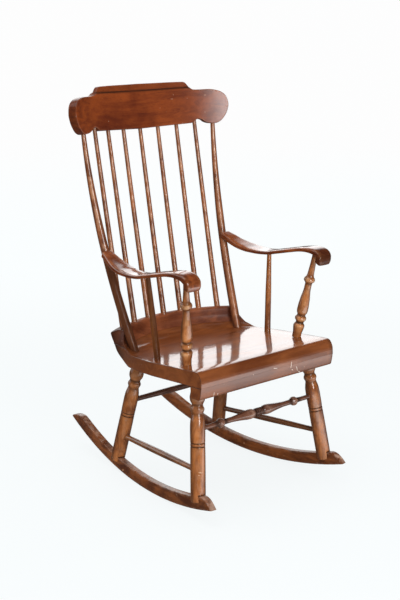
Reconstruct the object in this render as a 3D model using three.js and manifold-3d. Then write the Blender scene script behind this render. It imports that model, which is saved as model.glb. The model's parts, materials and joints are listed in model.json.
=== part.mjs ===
// A Boston rocking chair in turned and steam-bent wood, in millimetres.
// +Z is up, the sitter faces -Y and the picture's left is -X. While the chair is put together,
// y = 0 and z = 0 lie where the rockers touch the floor; the last lines move it to its origin.
import * as THREE from 'three';
import { TessellateModifier } from 'three/addons/modifiers/TessellateModifier.js';
import { mergeVertices } from 'three/addons/utils/BufferGeometryUtils.js';
import Module from 'manifold-3d';

const wasm = await Module();
wasm.setup();

// Fits
const clearance = 0.3;
const overrun = 60;

// Seat: a tilted plank with a strip glued under its front and a curved roll glued on its back
const seatWidth = 488;
const seatDepth = 420;
const seatFrontY = -263;
const seatTopHeight = 405.5;
const seatTiltDegrees = 4.96;
const undersideTiltDegrees = 3.8;
const frontDrop = 75.5;
const frontStripDepth = 42;
const backArcRadius = 350;
const backArcY = 186;
const backCrownRise = 27.5;
const backRollHeight = 43;
const backRollThickness = 40;
const backCrownWidth = 416;
const backGlueWidth = 450;

// Rockers: bows of one board each, toed in towards the back
const rockerSpread = 424;
const rockerToeDegrees = 6.16;
const rockerThickness = 19;
const rockerDepth = 33.5;
const rockerEndGrowth = 5;
const rockerFrontRadius = 1051.7;
const rockerRearRadius = 955;
const rockerFrontReach = 317;
const rockerRearReach = 414;
const rockerFacetLength = 30;
const rockerNoseLength = 45;
const rockerTailLength = 74;

// Legs: turned, slotted over the rockers below and tenoned into the plank above
const legRadius = 19.7;
const legTenonRadius = 12;
const legTenonDepth = 29.7;
const legCheekShare = 0.5;
const frontFootY = -245.5;
const frontTopX = 197.9;
const frontTopY = -194.4;
const rearFootY = 164;
const rearTopX = 158.2;
const rearTopY = 90.4;
const slotHeadroom = 1.5;
const pegRadius = 3.5;
const pegHeightShare = 0.75;

// Stretchers between the legs
const stretcherTenonReach = 12;
const sideStretcherRadius = 8.8;
const sideStretcherFrontHeight = 129;
const sideStretcherRearHeight = 109.5;
const rearStretcherRadius = 8.8;
const rearStretcherHeight = 218;
const frontStretcherRadius = 13.7;
const frontStretcherHeight = 235;

// Stiles and spindles of the back
const stileFootX = 192.6;
const stileFootY = 76.1;
const stileFootDrop = 14;
const stileBendX = 224;
const stileBendY = 208;
const stileBendRise = 257;
const stileRadius = 12;
const stileSeatDepth = 24;
const spindleFootSpread = 355;
const spindleTopSpread = 369;
const spindleFootArcRadius = 455;
const spindleFootY = 187;
const spindleRadius = 7.4;
const spindleSeatDepth = 15;
const rodTenonShare = 0.72;
const spindleBow = 3;
const crestSocketDepth = 25;

// Crest rail: a bent board with a raised tablet and a round lobe at each end
const crestLength = 588;
const crestHeight = 129.6;
const crestThickness = 24;
const crestArcRadius = 577;
const crestLeanDegrees = 7.7;
const crestFootY = 288;
const stileTopAlong = 241.8;
const crestFootRise = 527;
const tabletStepShare = 0.845;
const tabletFrontSetback = 3;
const tabletRearSetback = 8;

// Arms, each on a turned post and a plain spindle
const armLength = 385;
const armOnStileShare = 0.4223;
const armRearForward = 19.4;
const armRearOut = 5.1;
const armWidth = 58;
const armThickness = 18.5;
const armDrop = 22;
const armSpread = 20.5;
const armTenonRadius = 5;
const armTenonAimShare = 0.1;
const armRoundness = 0.5;
const armTenonReach = 13;
const postFootX = 203;
const postFootY = -158.6;
const postRadius = 15.9;
const postSeatDepth = 22;
const armSpindleFootX = 205;
const armSpindleFootY = -39.2;
const armSpindleRadius = 9;
const armSpindleSeatDepth = 20;

// Numbers of facets
const roundFacets = 12;
const slimFacets = 9;
const bentSteps = 10;
const tangentStep = 1e-3;
const seatRingFacets = 60;
const crestFacetLength = 44;
const armSteps = 22;
const tessellateRounds = 12;
const armSectionFacets = 12;

// Turning of the legs: share of the leg's length from the foot, share of its radius
const legShares = [
  [0, 0.9], [0.008, 0.98], [0.089, 1.02], [0.241, 1.02], [0.419, 1], [0.424, 0.94], [0.429, 1],
  [0.445, 1], [0.45, 0.94], [0.455, 1], [0.555, 1.02], [0.615, 0.98], [0.651, 0.86], [0.674, 0.78],
  [0.686, 0.82], [0.696, 0.9], [0.705, 0.93], [0.716, 0.9], [0.726, 0.8], [0.741, 0.75],
  [0.755, 0.84], [0.775, 0.99], [0.798, 1.03], [0.823, 0.96], [0.848, 0.84], [0.879, 0.73], [0.919, 0.66],
];

// Turning of the arm posts: share of the height over the seat, share of the radius
const postShares = [
  [0.01, 0.79], [0.05, 0.8], [0.085, 0.88], [0.118, 0.97], [0.135, 1], [0.15, 0.95],
  [0.165, 0.78], [0.18, 0.71], [0.198, 0.84], [0.213, 0.99], [0.227, 1.01], [0.241, 0.94],
  [0.255, 0.78], [0.268, 0.75], [0.29, 0.9], [0.325, 0.98], [0.365, 0.97], [0.42, 0.9],
  [0.46, 0.84], [0.5, 0.74], [0.54, 0.65], [0.58, 0.61], [0.63, 0.62], [0.648, 0.78],
  [0.66, 0.96], [0.676, 0.99], [0.694, 0.9], [0.708, 0.72], [0.735, 0.6], [0.78, 0.55],
  [0.86, 0.49], [1, 0.47],
];

// Turning of the front stretcher from its middle to one end: share of the half length, of the radius
const frontStretcherShares = [
  [0, 0.68], [0.014, 0.81], [0.028, 0.66], [0.042, 0.8], [0.056, 0.65], [0.075, 0.74],
  [0.105, 0.92], [0.15, 1], [0.19, 0.97], [0.25, 0.85], [0.32, 0.72], [0.4, 0.6], [0.48, 0.53],
  [0.57, 0.53], [0.605, 0.58], [0.63, 0.84], [0.655, 0.94], [0.68, 0.86], [0.705, 0.6],
  [0.76, 0.48], [0.88, 0.47], [1, 0.48],
];

// Swelling of the plain stretchers, the arm spindles, the back spindles and the stiles
const plainStretcherShares = [
  [0, 0.84], [0.08, 0.84], [0.3, 0.95], [0.5, 1], [0.7, 0.95], [0.92, 0.84], [1, 0.84],
];
const armSpindleShares = [[0, 1.02], [0.12, 0.97], [0.5, 0.93], [0.74, 0.81], [1, 0.69]];
const spindleShares = [[0, 1.12], [0.1, 1.08], [0.28, 1.01], [0.5, 0.94], [0.75, 0.86], [1, 0.77]];
const stileShares = [
  [0, 0.98], [0.1, 1.03], [0.2, 1.01], [0.4, 0.97], [0.5, 0.94],
  [0.62, 0.84], [0.75, 0.73], [0.87, 0.63], [1, 0.53],
];

// Half width of the seat against its depth from the front, as shares
const seatSideShares = [[0, 1], [0.483, 1], [0.59, 0.983], [0.775, 0.937], [0.865, 0.899], [1, 0.868]];

// Rolled front edge of the seat: share of the front's drop, share of the strip's depth behind the front
const seatNoseShares = [[0, 0.8], [0.02, 0.5], [0.09, 0.24], [0.2, 0.1], [0.32, 0.02], [0.44, 0], [0.56, 0]];
const stripNoseShares = [[0.56, 0], [0.7, 0.03], [0.85, 0.08], [0.95, 0.13], [1, 0.24]];

// Section of the back roll: out from its crown arc as a share of its thickness, down as a share of its height
const rollFrontShares = [
  [0.06, 0], [-0.16, 0.05], [-0.25, 0.16], [-0.27, 0.36],
  [-0.28, 0.55], [-0.33, 0.7], [-0.43, 0.86], [-0.53, 1],
];
const rollBackShares = [[0.32, 0.06], [0.7, 0.23], [0.92, 0.33], [0.98, 0.42], [0.88, 0.66], [0.64, 1]];
const coveShares = [[-0.53, 1], [-0.9, 1.2], [-1.3, 1.36], [-1.8, 1.47]];
const heelShares = [[-1.8, 2.36], [-1.15, 2.36], [-0.65, 2.09], [0.08, 1.68], [0.38, 1.42], [0.64, 1]];
const plankRearShare = -0.65;

// Outline of one half of the crest rail while flat: shares of the half length and of the height
const crestUnderShares = [
  [0, 0.012], [0.311, 0.028], [0.487, 0.034], [0.583, 0.04], [0.605, 0.052], [0.634, 0.102],
  [0.666, 0.12], [0.7, 0.099], [0.729, 0.045], [0.776, 0.006], [0.845, -0.009], [0.891, 0.02],
  [0.945, 0.125], [0.982, 0.258],
];
const crestUpperShares = [
  [0.999, 0.408], [0.986, 0.552], [0.947, 0.668], [0.884, 0.737], [0.8, 0.773], [0.703, 0.78],
  [0.635, 0.79], [0.605, 0.822], [0.543, 0.968], [0.523, 0.979], [0, 1],
];

// Arm from the stile to the curl: shares of its length, drop, spread, width and thickness
const armStationShares = [
  [-0.034, 0.36, -0.06, 0.58, 1], [0.02, 0.04, 0.06, 0.68, 1], [0.08, -0.35, 0.195, 0.8, 0.97],
  [0.174, -0.75, 0.43, 0.966, 0.89],
  [0.26, -0.95, 0.6, 1, 0.75], [0.338, -0.98, 0.7, 1, 0.66], [0.442, -0.845, 0.82, 1, 0.63],
  [0.532, -0.5, 0.87, 0.974, 0.63], [0.662, 0.03, 0.93, 0.93, 0.63], [0.779, 0.47, 0.98, 0.897, 0.68],
  [0.857, 0.6, 0.98, 0.897, 0.81], [0.92, 0.51, 0.97, 0.89, 0.92], [0.953, 0.25, 0.95, 0.87, 0.95],
  [0.968, -0.13, 0.88, 0.83, 1.07], [0.966, -0.55, 0.84, 0.8, 1.24], [0.958, -0.95, 0.82, 0.77, 1.26],
];

// Where the post and the arm spindle end in the arm: shares of the arm's length, drop and spread
const postTopShares = [0.8987, 0.4727, 0.756];
const armSpindleTopShares = [0.4512, -0.959, 0.12];

// Places of the spindles across the back: shares of half their spread
const spindlePlaceShares = [-1, -0.68, -0.34, 0, 0.34, 0.68, 1];

// Rounded ends of a rocker: share of the end's length from the tip, share of the board's depth there
const rockerNoseShares = [[1, 1], [0.85, 0.94], [0.62, 0.79], [0.44, 0.61], [0.28, 0.42], [0.1, 0.16]];
const rockerTailShares = [[1, 1], [0.8, 0.97], [0.55, 0.8], [0.3, 0.52], [0.12, 0.27], [0.03, 0.12]];

// Colours and finishes
const stainColour = 0x5a2a18;
const edgeColour = 0x7a3d20;
const finishRoughness = 0.3;

const up = new THREE.Vector3(0, 0, 1);
const across = new THREE.Vector3(1, 0, 0);
const radians = THREE.MathUtils.degToRad;
const vector = (x, y, z) => new THREE.Vector3(x, y, z);
const mix = THREE.MathUtils.lerp;

// Names a solid and gives it its finish.
function piece(name, geometry, colour = stainColour) {
  const finish = new THREE.MeshStandardMaterial({ color: colour, roughness: finishRoughness, metalness: 0 });
  const mesh = new THREE.Mesh(geometry, finish);
  mesh.name = name;
  return mesh;
}

// A closed geometry, its corners merged, as a solid placed by a matrix.
function solidOf(geometry, matrix) {
  const bare = new THREE.BufferGeometry();
  const whole = geometry.index ? geometry.toNonIndexed() : geometry;
  bare.setAttribute('position', whole.attributes.position.clone());
  bare.applyMatrix4(matrix);
  const merged = mergeVertices(bare);
  return new wasm.Manifold(new wasm.Mesh({
    numProp: 3,
    vertProperties: new Float32Array(merged.attributes.position.array),
    triVerts: new Uint32Array(merged.index.array),
  }));
}

// A solid as a geometry again.
function geometryOf(solid) {
  const mesh = solid.getMesh();
  const geometry = new THREE.BufferGeometry();
  geometry.setAttribute('position', new THREE.BufferAttribute(mesh.vertProperties, 3));
  geometry.setIndex(new THREE.BufferAttribute(mesh.triVerts, 1));
  return geometry;
}

// Reshapes a placed mesh with other placed meshes, each joined, cut away or kept in common.
function shaped(mesh, how, tools) {
  mesh.updateMatrixWorld(true);
  const toLocal = mesh.matrixWorld.clone().invert();
  let solid = solidOf(mesh.geometry, new THREE.Matrix4());
  for (const tool of tools) {
    tool.updateMatrixWorld(true);
    const other = solidOf(tool.geometry, toLocal.clone().multiply(tool.matrixWorld));
    solid = solid[how](other);
  }
  mesh.geometry = geometryOf(solid);
  return mesh;
}

// A solid turned about Z from pairs of distance and radius.
function turned(stations, facets) {
  const [low] = stations[0];
  const [high] = stations.at(-1);
  const profile = stations.map(([along, radius]) => new THREE.Vector2(radius, along));
  const closed = [new THREE.Vector2(0, low), ...profile, new THREE.Vector2(0, high)];
  return new THREE.LatheGeometry(closed, facets).rotateX(Math.PI / 2);
}

// Distances and radii from shares, each end lengthened and the whole swollen by grow.
function stationsOf(shares, length, radius, grow = 0) {
  const last = shares.length - 1;
  return shares.map(([along, wide], index) => {
    const beyond = index === 0 ? -grow : Number(index === last) * grow;
    return [along * length + beyond, wide * radius + grow];
  });
}

// Stands a mesh made along +Z on one point so that it points to another.
function aimed(mesh, from, to) {
  mesh.position.copy(from);
  mesh.quaternion.setFromUnitVectors(up, to.clone().sub(from).normalize());
  return mesh;
}

// Bends a turned blank, whose height runs from 0 to 1, along a curve.
function bent(stations, facets, curve) {
  const blank = turned(stations, facets);
  const corners = blank.attributes.position;
  const corner = new THREE.Vector3();
  for (let index = 0; index < corners.count; index += 1) {
    corner.fromBufferAttribute(corners, index);
    const middle = curve.getPoint(corner.z);
    const tangent = curve.getPoint(corner.z + tangentStep).sub(middle).normalize();
    const back = tangent.clone().cross(across).normalize();
    const side = back.clone().cross(tangent);
    middle.addScaledVector(side, corner.x).addScaledVector(back, corner.y);
    corners.setXYZ(index, middle.x, middle.y, middle.z);
  }
  return blank;
}

// Value at a place between pairs of place and value.
function between(pairs, place) {
  const next = pairs.findIndex(([start]) => start >= place);
  if (next === 0) return pairs[0][1];
  if (next < 0) return pairs.at(-1)[1];
  const [lowPlace, lowValue] = pairs[next - 1];
  const [highPlace, highValue] = pairs[next];
  return mix(lowValue, highValue, (place - lowPlace) / (highPlace - lowPlace));
}

// A rod bent between two entries, running on into both sockets.
function bentRod(curve, shares, radius, facets, footDepth, topDepth, grow) {
  const length = curve.getLength();
  const low = -(footDepth + grow) / length;
  const high = 1 + (topDepth + grow) / length;
  const stations = [[low, shares[0][1] * rodTenonShare * radius + grow]];
  for (let step = 0; step <= bentSteps; step += 1) {
    const along = step / bentSteps;
    stations.push([along, between(shares, along) * radius + grow]);
  }
  stations.push([high, shares.at(-1)[1] * rodTenonShare * radius + grow]);
  return bent(stations, facets, curve);
}

// An outline drawn in X and Y, extruded along Z.
function board(points, depth) {
  const outline = new THREE.Shape(points.map(([x, y]) => new THREE.Vector2(x, y)));
  return new THREE.ExtrudeGeometry(outline, { depth, bevelEnabled: false });
}

// The same outline points with their mirror images, as one closed loop.
const mirrored = (half) => [...half, ...half.map(([x, y]) => [-x, y]).reverse()];
const withoutDoubles = (points) => points.filter(([x, y], index) => {
  const [lastX, lastY] = points.at(index - 1);
  return x !== lastX || y !== lastY;
});

// Rockers

// Bottom of the rocker at a distance from its middle, as facets of two circles that meet there.
function rockerBottom(run) {
  const radius = run < 0 ? rockerFrontRadius : rockerRearRadius;
  const flatFacet = radius - Math.hypot(radius, rockerFacetLength / 2);
  return radius - Math.sqrt(radius ** 2 - run ** 2) + flatFacet;
}

// Depth of the board, a little more towards both ends.
const rockerDepthAt = (run) => rockerDepth + rockerEndGrowth * (run / rockerFrontReach) ** 2;

// Points along a rocker's bottom, one facet apart and with a flat facet in the middle.
function rockerRuns() {
  const runs = [-rockerFrontReach];
  const wholeFacets = Math.floor(rockerFrontReach / rockerFacetLength);
  let run = rockerFacetLength / 2 - wholeFacets * rockerFacetLength;
  for (; run < rockerRearReach; run += rockerFacetLength) runs.push(run);
  runs.push(rockerRearReach);
  return runs;
}

// Point over the bottom at a share of the board's depth.
const overBottom = (run, deep) => [run, rockerBottom(run) + deep * rockerDepthAt(run)];

// Outline of a rocker: the bottom from nose to tail and back along the top.
function rockerOutline() {
  const bottom = rockerRuns().map((run) => [run, rockerBottom(run)]);
  const tailStart = rockerRearReach - rockerTailLength;
  const noseStart = rockerNoseLength - rockerFrontReach;
  const tail = rockerTailShares.map(
    ([along, deep]) => overBottom(rockerRearReach - along * rockerTailLength, deep),
  );
  const nose = rockerNoseShares.map(
    ([along, deep]) => overBottom(along * rockerNoseLength - rockerFrontReach, deep),
  );
  const top = rockerRuns().filter((run) => run > noseStart && run < tailStart).reverse();
  return [...bottom, ...tail.reverse(), ...top.map((run) => overBottom(run, 1)), ...nose];
}

// Places a board drawn in the rocker's own plane on one side of the chair.
function onRocker(mesh, side, thickness) {
  mesh.geometry.rotateX(Math.PI / 2).rotateZ(Math.PI / 2).translate(-thickness / 2, 0, 0);
  mesh.position.set(side * rockerSpread / 2, 0, 0);
  mesh.rotation.z = side * radians(rockerToeDegrees);
  return mesh;
}

const rockerX = (y) => rockerSpread / 2 - y * Math.tan(radians(rockerToeDegrees));
const rockerRun = (y) => y / Math.cos(radians(rockerToeDegrees));

// Legs

// Foot and top of a leg: from the rocker's edge to some way up inside the plank.
function legLine(front, side) {
  const footY = front ? frontFootY : rearFootY;
  const run = rockerRun(footY);
  const footHeight = rockerBottom(run) + (1 - legCheekShare) * rockerDepthAt(run);
  const topX = front ? frontTopX : rearTopX;
  const topY = front ? frontTopY : rearTopY;
  const foot = vector(side * rockerX(footY), footY, footHeight);
  return [foot, vector(side * topX, topY, underside(topY) + legTenonDepth)];
}

// A leg; grow makes the larger shape that cuts its socket.
function makeLeg(name, front, side, grow = 0) {
  const [foot, top] = legLine(front, side);
  const shares = [...legShares, [1, legTenonRadius / legRadius]];
  const stations = stationsOf(shares, foot.distanceTo(top), legRadius, grow);
  return aimed(piece(name, turned(stations, roundFacets)), foot, top);
}

// Point of a leg's axis at a height.
function legPoint(front, side, height) {
  const [foot, top] = legLine(front, side);
  return foot.lerp(top, (height - foot.z) / (top.z - foot.z));
}

// The slot that straddles the rocker, open below.
function footSlot(front, side) {
  const run = rockerRun(front ? frontFootY : rearFootY);
  const top = rockerBottom(run) + rockerDepthAt(run) + slotHeadroom + legRadius * slotSlope(run);
  const width = rockerThickness + 2 * clearance;
  const slot = board([
    [run - overrun, -overrun], [run + overrun, -overrun], [run + overrun, top], [run - overrun, top],
  ], width);
  return onRocker(piece('slot', slot), side, width);
}

// Slope of the rocker's edge at a distance from its middle.
function slotSlope(run) {
  const radius = run < 0 ? rockerFrontRadius : rockerRearRadius;
  return Math.abs(run) / Math.sqrt(radius ** 2 - run ** 2);
}

// The peg that holds a leg's cheeks to the rocker; grow makes its hole.
function makePeg(name, front, side, grow = 0) {
  const run = rockerRun(front ? frontFootY : rearFootY);
  const height = rockerBottom(run) + pegHeightShare * rockerDepthAt(run);
  const length = 2 * (legRadius * legShares[1][1] - clearance) + 2 * grow;
  const rod = turned([[-length / 2, pegRadius + grow], [length / 2, pegRadius + grow]], slimFacets);
  const peg = piece(name, rod.rotateY(Math.PI / 2), edgeColour);
  const toe = radians(rockerToeDegrees);
  peg.position.set(side * (rockerSpread / 2 - Math.sin(toe) * run), Math.cos(toe) * run, height);
  peg.rotation.z = side * toe;
  return peg;
}

// Stretchers

// A turned rail between two points on the legs' axes; grow makes its sockets.
function rail(name, shares, radius, facets, from, to, grow = 0) {
  const inset = legRadius - stretcherTenonReach;
  const length = from.distanceTo(to) - 2 * inset;
  const start = from.clone().lerp(to, inset / from.distanceTo(to));
  return aimed(piece(name, turned(stationsOf(shares, length, radius, grow), facets)), start, to);
}

const bothWays = frontStretcherShares.map(([along, wide]) => [(1 - along) / 2, wide]).reverse();
const otherWay = frontStretcherShares.slice(1).map(([along, wide]) => [(1 + along) / 2, wide]);
const frontRailShares = [...bothWays, ...otherWay];

function makeFrontStretcher(grow = 0) {
  const ends = [-1, 1].map((side) => legPoint(true, side, frontStretcherHeight));
  return rail('front_stretcher', frontRailShares, frontStretcherRadius, roundFacets, ...ends, grow);
}

function makeRearStretcher(grow = 0) {
  const ends = [-1, 1].map((side) => legPoint(false, side, rearStretcherHeight));
  return rail('rear_stretcher', plainStretcherShares, rearStretcherRadius, slimFacets, ...ends, grow);
}

function makeSideStretcher(name, side, grow = 0) {
  const front = legPoint(true, side, sideStretcherFrontHeight);
  const rear = legPoint(false, side, sideStretcherRearHeight);
  return rail(name, plainStretcherShares, sideStretcherRadius, slimFacets, front, rear, grow);
}

// Seat

const seatTop = (y) => seatTopHeight - (y - seatFrontY) * Math.tan(radians(seatTiltDegrees));
const undersideFall = (run) => run * Math.tan(radians(undersideTiltDegrees));
const backCentreY = backArcY - backArcRadius;
const backCrownHeight = seatTopHeight + backCrownRise;
const backGlueHeight = backCrownHeight - backRollHeight;

// Plan of the seat's two sides, carried on past the back.
function seatPlan() {
  const half = seatSideShares.map(([deep, wide]) => [wide * seatWidth / 2, seatFrontY + deep * seatDepth]);
  const [lastX] = half.at(-1);
  half[0][1] -= clearance;
  return mirrored([...half, [lastX, seatFrontY + seatDepth + 2 * overrun]]);
}

// Stands the plan as a tall block that trims a piece of the seat to its sides.
function planBlock() {
  const block = piece('plan', board(seatPlan(), 2 * seatTopHeight));
  block.position.z = -overrun;
  return block;
}

// A side section of the seat, drawn in Y and Z and carried right across it.
function acrossSeat(name, section) {
  const width = seatWidth + 2 * overrun;
  const geometry = board(section, width).rotateX(Math.PI / 2).rotateZ(Math.PI / 2);
  return piece(name, geometry.translate(-width / 2, 0, 0));
}

// A ring about the centre of the back's arc, from corners given outwards and in height.
function seatRing(name, corners) {
  const closed = [...corners, corners[0]].map(([x, z]) => new THREE.Vector2(x, z));
  const ring = piece(name, new THREE.LatheGeometry(closed, seatRingFacets).rotateX(Math.PI / 2));
  ring.position.y = backCentreY;
  return ring;
}

const rollCorner = ([out, down]) => [
  backArcRadius + out * backRollThickness, backCrownHeight - down * backRollHeight,
];

// A corner of the plank's back edge, under the glue line of the roll.
function gluedCorner(shares) {
  const [run, height] = rollCorner(shares);
  return [run, Math.min(height, backGlueHeight - clearance)];
}

// A corner of the front edge, down from the flat of the seat.
function nosePoint([down, behind]) {
  const y = seatFrontY + behind * frontStripDepth;
  return [y, seatTop(y) - down * frontDrop];
}

// Height of the plank's underside, which starts from the lowest corner of its nose.
function underside(y) {
  const [lowY, lowHeight] = nosePoint(seatNoseShares.at(-1));
  return lowHeight - undersideFall(y - lowY);
}

// The plank: a tilted board with a rolled front edge, and behind it the cove that rises to the back roll.
function makePlank() {
  const rearY = backCentreY + backArcRadius - backRollThickness;
  const nose = seatNoseShares.map(nosePoint);
  const [lowY] = nose.at(-1);
  const section = [...nose, [rearY, underside(rearY)], [rearY, seatTop(rearY)]];
  const plank = acrossSeat('seat_plank', section.reverse());
  shaped(plank, 'intersect', [frontOfArc()]);
  shaped(plank, 'add', [seatRing('cove', [...coveShares, ...heelShares].map(gluedCorner))]);
  const pastY = rearY + 2 * overrun;
  const below = [[lowY, -overrun], [pastY, -overrun], [pastY, underside(pastY)], [lowY, underside(lowY)]];
  shaped(plank, 'subtract', [acrossSeat('under', below)]);
  return shaped(plank, 'intersect', [planBlock()]);
}

// Everything in front of the curved line where the flat of the plank ends.
function frontOfArc() {
  const radius = backArcRadius + plankRearShare * backRollThickness;
  const top = seatTopHeight + overrun;
  const arc = piece('arc', turned([[-overrun, radius], [top, radius]], seatRingFacets));
  arc.position.y = backCentreY;
  const frontY = seatFrontY - overrun;
  const corners = [[-seatWidth, frontY], [seatWidth, frontY], [seatWidth, 0], [-seatWidth, 0]];
  return shaped(arc, 'add', [piece('front', board(corners, top))]);
}

// The strip glued under the plank's front edge.
function makeFrontRoll() {
  const nose = stripNoseShares.map(nosePoint);
  const [frontY, glueHeight] = nose[0];
  const [, lowHeight] = nose.at(-1);
  const rearY = seatFrontY + frontStripDepth;
  const gluedAt = (y) => glueHeight - undersideFall(y - frontY) - clearance;
  const back = [[rearY, lowHeight], [rearY, gluedAt(rearY)]];
  const section = [[frontY, gluedAt(frontY)], ...nose.slice(1), ...back];
  const strip = acrossSeat('seat_front_roll', section.reverse());
  return shaped(strip, 'intersect', [planBlock()]);
}

// The roll glued on the plank's back, curved to the sitter's hips, its ends leaning in towards the crown.
function makeBackRoll() {
  const corners = [...rollFrontShares, ...[...rollBackShares].reverse()].map(rollCorner);
  const roll = seatRing('seat_back_roll', corners);
  const ends = mirrored([[backGlueWidth / 2, backGlueHeight], [backCrownWidth / 2, backCrownHeight]]);
  const wedge = piece('wedge', board(ends, seatDepth).rotateX(Math.PI / 2));
  wedge.position.y = backArcY + seatDepth / 2;
  return shaped(roll, 'intersect', [planBlock(), wedge]);
}

// Back

const crestLean = radians(crestLeanDegrees);
const crestFootHeight = backCrownHeight + crestFootRise;
const stileFootHeight = backGlueHeight - stileFootDrop;
const stileBendHeight = backCrownHeight + stileBendRise;

// Point in the middle of the crest's board, some way along it from its middle and up it from its foot.
function crestPoint(along, high) {
  const angle = along / crestArcRadius;
  const sag = crestArcRadius * (Math.cos(angle) - 1);
  const point = vector(crestArcRadius * Math.sin(angle), sag, high);
  return point.applyAxisAngle(across, -crestLean).add(vector(0, crestFootY, crestFootHeight));
}

// The same point on the crest's lower edge.
function crestEdge(along) {
  const share = between(crestUnderShares, Math.abs(along) / (crestLength / 2));
  return crestPoint(along, share * crestHeight);
}

// Bends a board about an upright axis behind the sitter's back; its corners are moved in place.
function bentBoard(geometry, radius) {
  const corners = geometry.attributes.position;
  for (let index = 0; index < corners.count; index += 1) {
    const angle = corners.getX(index) / radius;
    const out = radius + corners.getY(index);
    corners.setXY(index, out * Math.sin(angle), out * Math.cos(angle) - radius);
  }
  return geometry;
}

// A slab that thins the flat board above the step, on the side given as -1 in front or 1 behind.
function planed(side, setback) {
  const slab = piece('planed', new THREE.BoxGeometry(crestLength, setback, crestHeight));
  slab.position.set(0, (side * (crestThickness - setback)) / 2, (tabletStepShare + 0.5) * crestHeight);
  return slab;
}

// The crest rail: cut flat, thinned above the step, then bent and leaned back.
function makeCrest() {
  const half = [...crestUnderShares, ...crestUpperShares];
  const outline = half.map(([along, high]) => [along * crestLength / 2, high * crestHeight]);
  const flat = board(withoutDoubles(mirrored(outline)), crestThickness).rotateX(Math.PI / 2);
  const crest = piece('crest_rail', flat.translate(0, crestThickness / 2, 0));
  shaped(crest, 'subtract', [planed(-1, tabletFrontSetback), planed(1, tabletRearSetback)]);
  const divider = new TessellateModifier(crestFacetLength, tessellateRounds);
  crest.geometry = bentBoard(divider.modify(crest.geometry.toNonIndexed()), crestArcRadius);
  crest.position.set(0, crestFootY, crestFootHeight);
  crest.rotation.x = -crestLean;
  return crest;
}

// Centre line of a stile from the seat to the crest rail.
function stileCurve(side) {
  const foot = vector(stileFootX, stileFootY, stileFootHeight);
  const bend = vector(stileBendX, stileBendY, stileBendHeight);
  const points = [foot, bend, crestEdge(stileTopAlong)];
  return new THREE.QuadraticBezierCurve3(...points.map((point) => point.setX(point.x * side)));
}

function makeStile(name, side, grow = 0) {
  const curve = stileCurve(side);
  const rod = bentRod(curve, stileShares, stileRadius, roundFacets, stileSeatDepth, crestSocketDepth, grow);
  return piece(name, rod);
}

// Centre line of a back spindle, the first at the left and the last at the right.
function spindleCurve(index) {
  const place = spindlePlaceShares[index];
  const footX = place * spindleFootSpread / 2;
  const footY = spindleFootY - spindleFootArcRadius + Math.sqrt(spindleFootArcRadius ** 2 - footX ** 2);
  const foot = vector(footX, footY, backCrownHeight);
  const top = crestEdge(place * spindleTopSpread / 2);
  const bend = foot.clone().lerp(top, 0.5).add(vector(0, spindleBow, 0));
  return new THREE.QuadraticBezierCurve3(foot, bend, top);
}

function makeSpindle(index, grow = 0) {
  const curve = spindleCurve(index);
  const depths = [spindleSeatDepth, crestSocketDepth];
  const rod = bentRod(curve, spindleShares, spindleRadius, slimFacets, ...depths, grow);
  return piece(`back_spindle_${index + 1}`, rod);
}

// Arms

// Rounded section of an arm, its width and thickness each running from -1 to 1.
function armSection() {
  const corners = Array.from({ length: armSectionFacets }, (unused, index) => {
    const angle = (2 * Math.PI * (index + 0.5)) / armSectionFacets;
    const soft = (value) => Math.sign(value) * Math.abs(value) ** armRoundness;
    return new THREE.Vector2(soft(Math.cos(angle)), soft(Math.sin(angle)));
  });
  return new THREE.Shape(corners);
}

// A place on the right arm from shares of its length, drop and spread, counted from the stile.
function armPoint([along, drop, spread]) {
  const forward = armRearForward + along * armLength;
  const offset = vector(armRearOut + spread * armSpread, -forward, drop * armDrop);
  return stileCurve(1).getPoint(armOnStileShare).add(offset);
}

// Middle of the arm and its half width and thickness, each as a curve through the stations.
function armCurves() {
  const middle = armStationShares.map(armPoint);
  const sizes = armStationShares.map(([, , , wide, thick]) => vector(
    wide * armWidth / 2, thick * armThickness / 2, 0,
  ));
  return [middle, sizes].map((points) => new THREE.CatmullRomCurve3(points, false, 'centripetal'));
}

// An arm: a rounded section carried along its middle line, with a round tenon into the stile.
function makeArm(name, side) {
  const [middle, sizes] = armCurves();
  const blank = new THREE.ExtrudeGeometry(armSection(), { depth: 1, steps: armSteps, bevelEnabled: false });
  const corners = blank.attributes.position;
  const corner = new THREE.Vector3();
  for (let index = 0; index < corners.count; index += 1) {
    corner.fromBufferAttribute(corners, index);
    const here = middle.getPoint(corner.z);
    const tangent = middle.getTangent(corner.z).setX(0).normalize();
    const thick = across.clone().cross(tangent);
    const size = sizes.getPoint(corner.z);
    here.addScaledVector(across, corner.x * size.x).addScaledVector(thick, -corner.y * size.y);
    corners.setXYZ(index, here.x, here.y, here.z);
  }
  const arm = piece(name, blank);
  shaped(arm, 'add', [makeArmTenon(1)]);
  if (side < 0) arm.geometry = flipped(arm.geometry);
  return arm;
}

// The mirror image of an indexed solid, its triangles turned round so that they still face out.
function flipped(geometry) {
  const image = geometry.clone().applyMatrix4(new THREE.Matrix4().makeScale(-1, 1, 1));
  image.setIndex([...image.index.array].reverse());
  return image;
}

// The round tenon from an arm's rear end into the stile; grow makes its socket.
function makeArmTenon(side, grow = 0) {
  const [middle] = armCurves();
  const start = middle.getPoint(0);
  const inward = middle.getPoint(armTenonAimShare);
  start.x *= side;
  inward.x *= side;
  const reach = armTenonReach + grow;
  const rod = turned([[-reach, armTenonRadius + grow], [reach, armTenonRadius + grow]], slimFacets);
  const direction = start.clone().sub(inward).normalize();
  return aimed(piece('tenon', rod), start, start.clone().add(direction));
}

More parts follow.
